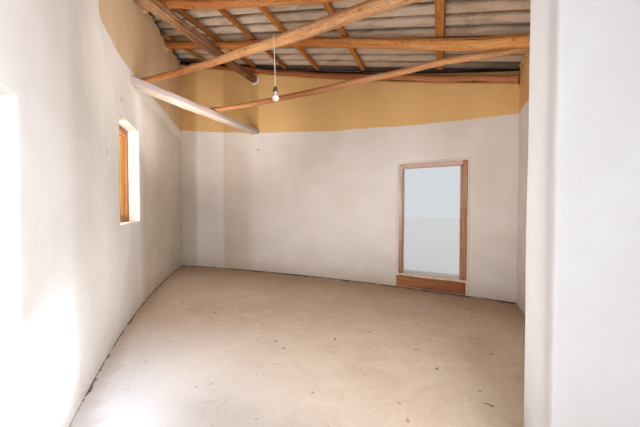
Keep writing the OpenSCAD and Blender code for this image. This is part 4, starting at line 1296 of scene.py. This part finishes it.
lean = put("ShaderNodeVectorMath", {0: tip.outputs[0], "Scale": given["Uneven"]},
    operation="SCALE").outputs["Vector"]
lean = put("FunctionNodeEulerToRotation", {"Euler": lean}).outputs["Rotation"]
stance = put("FunctionNodeRotateRotation", {"Rotation": upright, "Rotate By": lean},
    rotation_space="LOCAL").outputs["Rotation"]
size = put("ShaderNodeMath", {0: vary, 1: given["Size"]}, operation="MULTIPLY").outputs[0]
placed = put("GeometryNodeInstanceOnPoints", {"Points": given["Places"], "Instance": shape,
    "Rotation": stance, "Scale": size})
real = put("GeometryNodeRealizeInstances", {"Geometry": placed.outputs["Instances"]}).outputs["Geometry"]
done = put("GeometryNodeSetMaterial", {"Geometry": real, "Material": given["Finish"]}).outputs["Geometry"]
fixing_tree.links.new(done, put("NodeGroupOutput").inputs["Fixings"])


def set_fixings(name, places, fixing, uneven, seed, finish):
    """Sets a fixing at each (place, aim), a little unevenly, and makes one plain mesh of them all."""
    mesh = bpy.data.meshes.new("places")
    mesh.from_pydata([tuple(at) for at, aim in places], [], [])
    mark(mesh, "aim", [aim for at, aim in places])
    obj = bpy.data.objects.new(name, mesh)
    bpy.context.collection.objects.link(obj)
    modifier = obj.modifiers.new("fixings", "NODES")
    modifier.node_group = fixing_tree
    sockets = {item.name: item.identifier for item in fixing_tree.interface.items_tree
        if item.in_out == "INPUT"}
    for key, value in (("Fixing", fixing), ("Size", 1.0), ("Uneven", uneven), ("Seed", seed),
            ("Finish", finish)):
        modifier[sockets[key]] = value
    settled(obj, name).set_sharp_from_angle(angle=math.radians(35))
    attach(obj, "root")
    return obj


iron = speckled("dull_iron", 160.0, ((0.35, shade(62, 52, 46)), (0.6, shade(104, 90, 80)),
    (0.75, shade(122, 74, 46))), 4.0, worn=((0.3, 0.4), (0.7, 0.8)), Roughness=0.5, Metallic=0.7)
nail = turned("nail", [(0, -0.006), (0.0011, -0.006), (0.0011, 0.0), (0.0042, 0.0), (0.0040, 0.0010),
    (0.0022, 0.0016), (0, 0.0018)], (0, 0, 0), 8)
at_left = lambda a, d, z: (on_left(a, d, z), into_room(a))
at_back = lambda a, d, z: (on_back(a, d, z), into_room(a))
nail_places = [at_left(shutter_ends[0] + board_a * (number + 0.5) + side / left_arc[1], reveal + 0.0213, z)
    for number in range(board_count) for z in (shutter_z[0] + 0.10, shutter_z[1] - 0.10)
    for side in (-0.035, 0.035)]
nail_places += [at_left(a, reveal - 0.0002, z) for a in (window_far + half, window_near - half)
    for z in (window_z[0] + 0.03, window_z[1] - 0.03)]
nail_places += [at_back(door_left - 0.030 / back_arc[1] * n, -0.0092, z)
    for n in (1, 12, 25) for z in (0.150, 0.222)]
nail_places += [at_back(a, -proud - 0.0002, z) for a in (door_left - half_jamb, door_right + half_jamb)
    for z in (0.40, 0.98, 1.60)]
nails = set_fixings("frame_nails", nail_places, nail, 0.06, 5, iron)
bpy.data.objects.remove(nail)


# Roof. Rows of large-wave fibre-cement sheets from the left wall to the eave,
# each lapped half a wave over the next one, and held with hooked bolts.
tilt = math.asin(sheet_t / row_w)
sheet_ends = (right_out + 0.150, 0.500 - lap_x / 2, -2.200 - lap_x / 2, -4.600)

sheeting, add, shader = new_material("fibre_cement_underside", Roughness=0.88)
where = add("TexCoord").outputs["Object"]
hollow = add("Attribute", attribute_name="hollow", attribute_type="GEOMETRY").outputs["Fac"]
dusk = add("Attribute", attribute_name="dusk", attribute_type="GEOMETRY").outputs["Fac"]
cloud = cloudy(add, where, 1.6, 6.0, 0.65)
run = cloudy(add, stretched(add, where, (1.2, 16.0, 16.0)), 1.0, 5.0, 0.6)
grit = cloudy(add, where, 70.0, 5.0, 0.75)
colour = ramp(add, cloud, (0.3, shade(174, 150, 126)), (0.5, shade(200, 178, 154)),
    (0.68, shade(184, 168, 154)))
colour = mixed(add, ramp(add, run, (0.5, 0.0), (0.72, 0.6)), colour, shade(140, 106, 78))
colour = mixed(add, ramp(add, grit, (0.5, 0.0), (0.85, 0.35)), colour, shade(104, 84, 66))
# painted shade: the crests of the waves, deep in the hollows seen from below, are darkened, broken up by the
# runs
hollow_shade = plus(add, hollow, times(add, less(add, run, 0.5), 0.5))
colour = mixed(add, ramp(add, hollow_shade, (0.55, 0.0), (0.84, 0.6), (0.97, 0.93)), colour, shade(74, 54, 42))
pale = specks_on(add, where, 42.0, 0.4, 0.26)
drips = specks_on(add, stretched(add, where, (1.0, 2.4, 1.0)), 20.0, 0.16, 0.17)
colour = mixed(add, times(add, maths(add, "MAXIMUM", pale, drips), 0.6), colour, shade(232, 222, 208))
# painted shade over the wall heads and along each row's lapped edge
colour = mixed(add, dusk, colour, shade(60, 42, 32))
feed(sheeting, shader, Base_Color=colour, Height=(plus(add, grit, run), 0.5, 0.003))
weathered, add, shader = new_material("fibre_cement_weathered", Roughness=0.92)
where = add("TexCoord").outputs["Object"]
cloud = cloudy(add, where, 2.4, 7.0, 0.68)
lichen = cloudy(add, where, 14.0, 8.0, 0.75)
colour = ramp(add, cloud, (0.3, shade(132, 128, 120)), (0.55, shade(168, 162, 152)),
    (0.75, shade(150, 140, 122)))
colour = mixed(add, ramp(add, lichen, (0.55, 0.0), (0.66, 0.85)), colour, shade(96, 92, 74))
colour = mixed(add, ramp(add, lichen, (0.68, 0.0), (0.74, 0.8)), colour, shade(178, 150, 78))
feed(weathered, shader, Base_Color=colour, Height=(lichen, 0.6, 0.003))


def on_sheet(x0, y0, lift, along, u, w):
    """A point of a sheet: along it, u across its waves and w above its underside's trough."""
    v = wave_h * crest(u) + w
    y = u * math.cos(tilt) - v * math.sin(tilt)
    h = u * math.sin(tilt) + v * math.cos(tilt)
    z = bed(x0) + lift - along * math.sin(slope) + h * math.cos(slope)
    return x0 + along * math.cos(slope) + h * math.sin(slope), y0 + y, z


def left_edge(y):
    """Where the roof ends past the left wall."""
    r = left_arc[1] + wall_t + 0.080
    return left_arc[0][0] - math.sqrt(r * r - (y - left_arc[0][1]) ** 2)


sheet_rows = ((-3, 6.5), (-2, 6.5), (-1, 6.5), (0, 6.5), (1, 2.5))
lap_rise = sheet_t + 0.002
for row, waves in sheet_rows:
    verts, faces, tops, hollows, sheet_shades = [], [], [], [], []
    y0 = row_y + row * row_w
    across = np.linspace(0, waves * pitch, int(waves * 16) + 1)
    for j in range(3):
        x0, x1 = sheet_ends[j + 1], sheet_ends[j] + (lap_x if j else 0)
        lift = j * lap_rise
        count = max(2, math.ceil((x1 - x0) / 0.45)) + 1
        if left_edge(y0 + waves * pitch / 2) > x1:
            continue
        base = len(verts)
        for w in (0.0, sheet_t):
            for u in across:
                begin = max(0.0, (left_edge(y0 + u) - x0) / math.cos(slope))
                for s in np.linspace(begin, (x1 - x0) / math.cos(slope), count):
                    sag = 0.0012 * noise.noise(Vector((x0 + s, y0 * 3 + u * 2, 0)))
                    point = on_sheet(x0, y0, lift, s, u, w + sag)
                    verts.append(point)
                    hollows.append(crest(u))
                    # painted shade: darker where the sheet lies over a wall head, and a little along its
                    # lapped edge
                    beyond = max(past_face(arc, point) for arc in (left_arc, back_arc))
                    lap_shadow = 0.5 if u < 0.012 else 0.0
                    sheet_shades.append(float(np.clip((beyond + 0.10) / 0.22, lap_shadow, 0.9)))
        n = len(across)
        at = lambda k, i, c: base + (k * n + i) * count + c
        for i in range(n - 1):
            for c in range(count - 1):
                faces.append((at(0, i, c), at(0, i + 1, c), at(0, i + 1, c + 1), at(0, i, c + 1)))
                faces.append((at(1, i, c), at(1, i, c + 1), at(1, i + 1, c + 1), at(1, i + 1, c)))
                tops += [0, 1]
            for c in (0, count - 1):
                faces.append((at(0, i, c), at(1, i, c), at(1, i + 1, c), at(0, i + 1, c)))
                tops.append(1)
        for c in range(count - 1):
            for i in (0, n - 1):
                faces.append((at(0, i, c), at(0, i, c + 1), at(1, i, c + 1), at(1, i, c)))
                tops.append(1)
    mesh = bpy.data.meshes.new(f"sheets_{row + 4}")
    mesh.from_pydata(verts, [], faces)
    mesh.materials.append(sheeting)
    mesh.materials.append(weathered)
    mesh.polygons.foreach_set("material_index", tops)
    mark(mesh, "hollow", hollows)
    mark(mesh, "dusk", sheet_shades)
    outwards(mesh)
    obj = piece(f"roof_row_{row + 4}_waved", mesh)
    mesh.set_sharp_from_angle(angle=math.radians(50))
    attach(obj, "root")
    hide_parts(f"roof_sheets_{row + 4}")


# Roof bolts. A galvanised hook bolt, with its nut on a curved washer, holds
# each sheet to the battens on the second and fifth wave.
galvanised = speckled("galvanised_steel", 120.0, ((0.35, shade(120, 118, 114)), (0.6, shade(160, 160, 158)),
    (0.78, shade(132, 98, 70))), 5.0, 0.7, worn=((0.3, 0.35), (0.75, 0.75)), Roughness=0.45, Metallic=0.8)
bolt = turned("bolt", [(0, -0.004), (0.0175, -0.004), (0.0175, -0.0015), (0.012, 0.002), (0.0072, 0.003),
    (0.0072, 0.0085), (0.0040, 0.0090), (0.0040, 0.0155), (0, 0.0160)], (0, 0, 0), 8)
sheet_up = (math.sin(slope), 0, math.cos(slope))
batten_x = (-2.200, -1.315, -0.735, -0.200, 0.500, 1.474)
bolt_places = []
for row, waves in sheet_rows:
    for wave in [n for n in (1, 4) if n + 0.5 < waves]:
        for x in batten_x:
            y0, u = row_y + row * row_w, (wave + 0.5) * pitch
            layer = max(j for j in range(3) if sheet_ends[j + 1] < x < sheet_ends[j]
                + (lap_x if j else 0)) if x > sheet_ends[3] else 2
            x0 = sheet_ends[layer + 1]
            if left_edge(y0 + u) < x - 0.05:
                place = on_sheet(x0, y0, layer * lap_rise, (x - x0) / math.cos(slope), u, lap_rise)
                bolt_places.append((place, sheet_up))
bolts = set_fixings("roof_bolts", bolt_places, bolt, 0.03, 8, galvanised)
bpy.data.objects.remove(bolt)


# Floor round the house and plain soft studio light.
ground_mesh = bpy.data.meshes.new("studio_floor")
ground_mesh.from_pydata([(-30, -30, -0.002), (30, -30, -0.002), (30, 30, -0.002), (-30, 30, -0.002)], [],
    [(0, 1, 2, 3)])
ground_paint, add, shader = new_material("studio_floor", Roughness=0.95, Base_Color=shade(236, 230, 221))
ground = piece("studio_floor", ground_mesh, ground_paint)

world = bpy.data.worlds.new("studio")
world.use_nodes = True
tree = world.node_tree
add = adder(tree)
ray = add("LightPath")
seen = maths(add, "MAXIMUM", ray.outputs["Is Camera Ray"], maths(add, "MAXIMUM", ray.outputs["Is Glossy Ray"],
    ray.outputs["Is Transmission Ray"]))
strength = fade(add, seen, 0.0, 1.0, 0.8, 1.0)
way = add("SeparateXYZ", {"Vector": add("TexCoord").outputs["Generated"]}).outputs["Y"]
background = ramp(add, way, (0.45, 1.0), (0.85, shade(212, 216, 221)))
tree.links.new(mixed(add, seen, (0.90, 0.97, 1.08, 1.0), background),
    tree.nodes["Background"].inputs["Color"])
tree.links.new(strength, tree.nodes["Background"].inputs["Strength"])
bpy.context.scene.world = world


def lamp(name, place, target, width, height, power, spread=180, tint=(1, 1, 1)):
    """A large soft lamp, aimed at a point."""
    light = bpy.data.lights.new(name, "AREA")
    light.shape, light.size, light.size_y = "RECTANGLE", width, height
    light.energy, light.spread, light.color = power, math.radians(spread), tint
    obj = bpy.data.objects.new(name, light)
    obj.location = place
    obj.rotation_euler = (Vector(target) - Vector(place)).to_track_quat("-Z", "Y").to_euler()
    obj.visible_camera = False
    bpy.context.collection.objects.link(obj)


lamp("front_softbox", (0.75, -1.36, 1.35), (0.55, 0.5, 1.35), 2.0, 2.0, 12)
lamp("front_fill", (1.1, -2.72, 1.3), (0.7, -0.5, 1.1), 1.4, 1.8, 23)
lamp("low_fill", (0.55, -0.2, 0.30), (0.55, -0.2, 3.0), 1.6, 1.6, 9.5)
lamp("left_fill", (1.7, -1.80, 1.10), (-0.6, -1.75, 0.80), 0.9, 1.9, 18, tint=(0.92, 1.0, 1.12))
lamp("side_fill", (1.75, -0.60, 1.30), (-0.9, -1.05, 1.25), 0.8, 1.3, 7.5, tint=(0.94, 1.0, 1.08))
lamp("low_left_fill", (0.40, -1.90, 0.45), (-0.62, -1.20, 0.45), 0.5, 0.5, 4, spread=100,
    tint=(0.86, 0.98, 1.16))
lamp("upper_left_fill", (0.7, -1.0, 1.7), (-1.3, -0.5, 2.85), 0.8, 0.8, 5, spread=80)
lamp("roof_corner_fill", (-0.9, -0.2, 1.6), (-1.9, 0.9, 3.1), 0.8, 0.8, 8.5, spread=110)
lamp("right_fill", (1.25, -0.9, 1.5), (1.85, 1.3, 1.9), 0.9, 1.4, 2.3, spread=100)
lamp("window_light", (-1.75, -1.30, 1.6), (-1.1, -0.6, 1.45), 0.7, 1.0, 60)
lamp("reveal_glow", (-1.110, -0.962, 1.45), (-1.49, -0.62, 1.35), 0.05, 0.85, 4)

bpy.context.scene.view_settings.view_transform = "Standard"
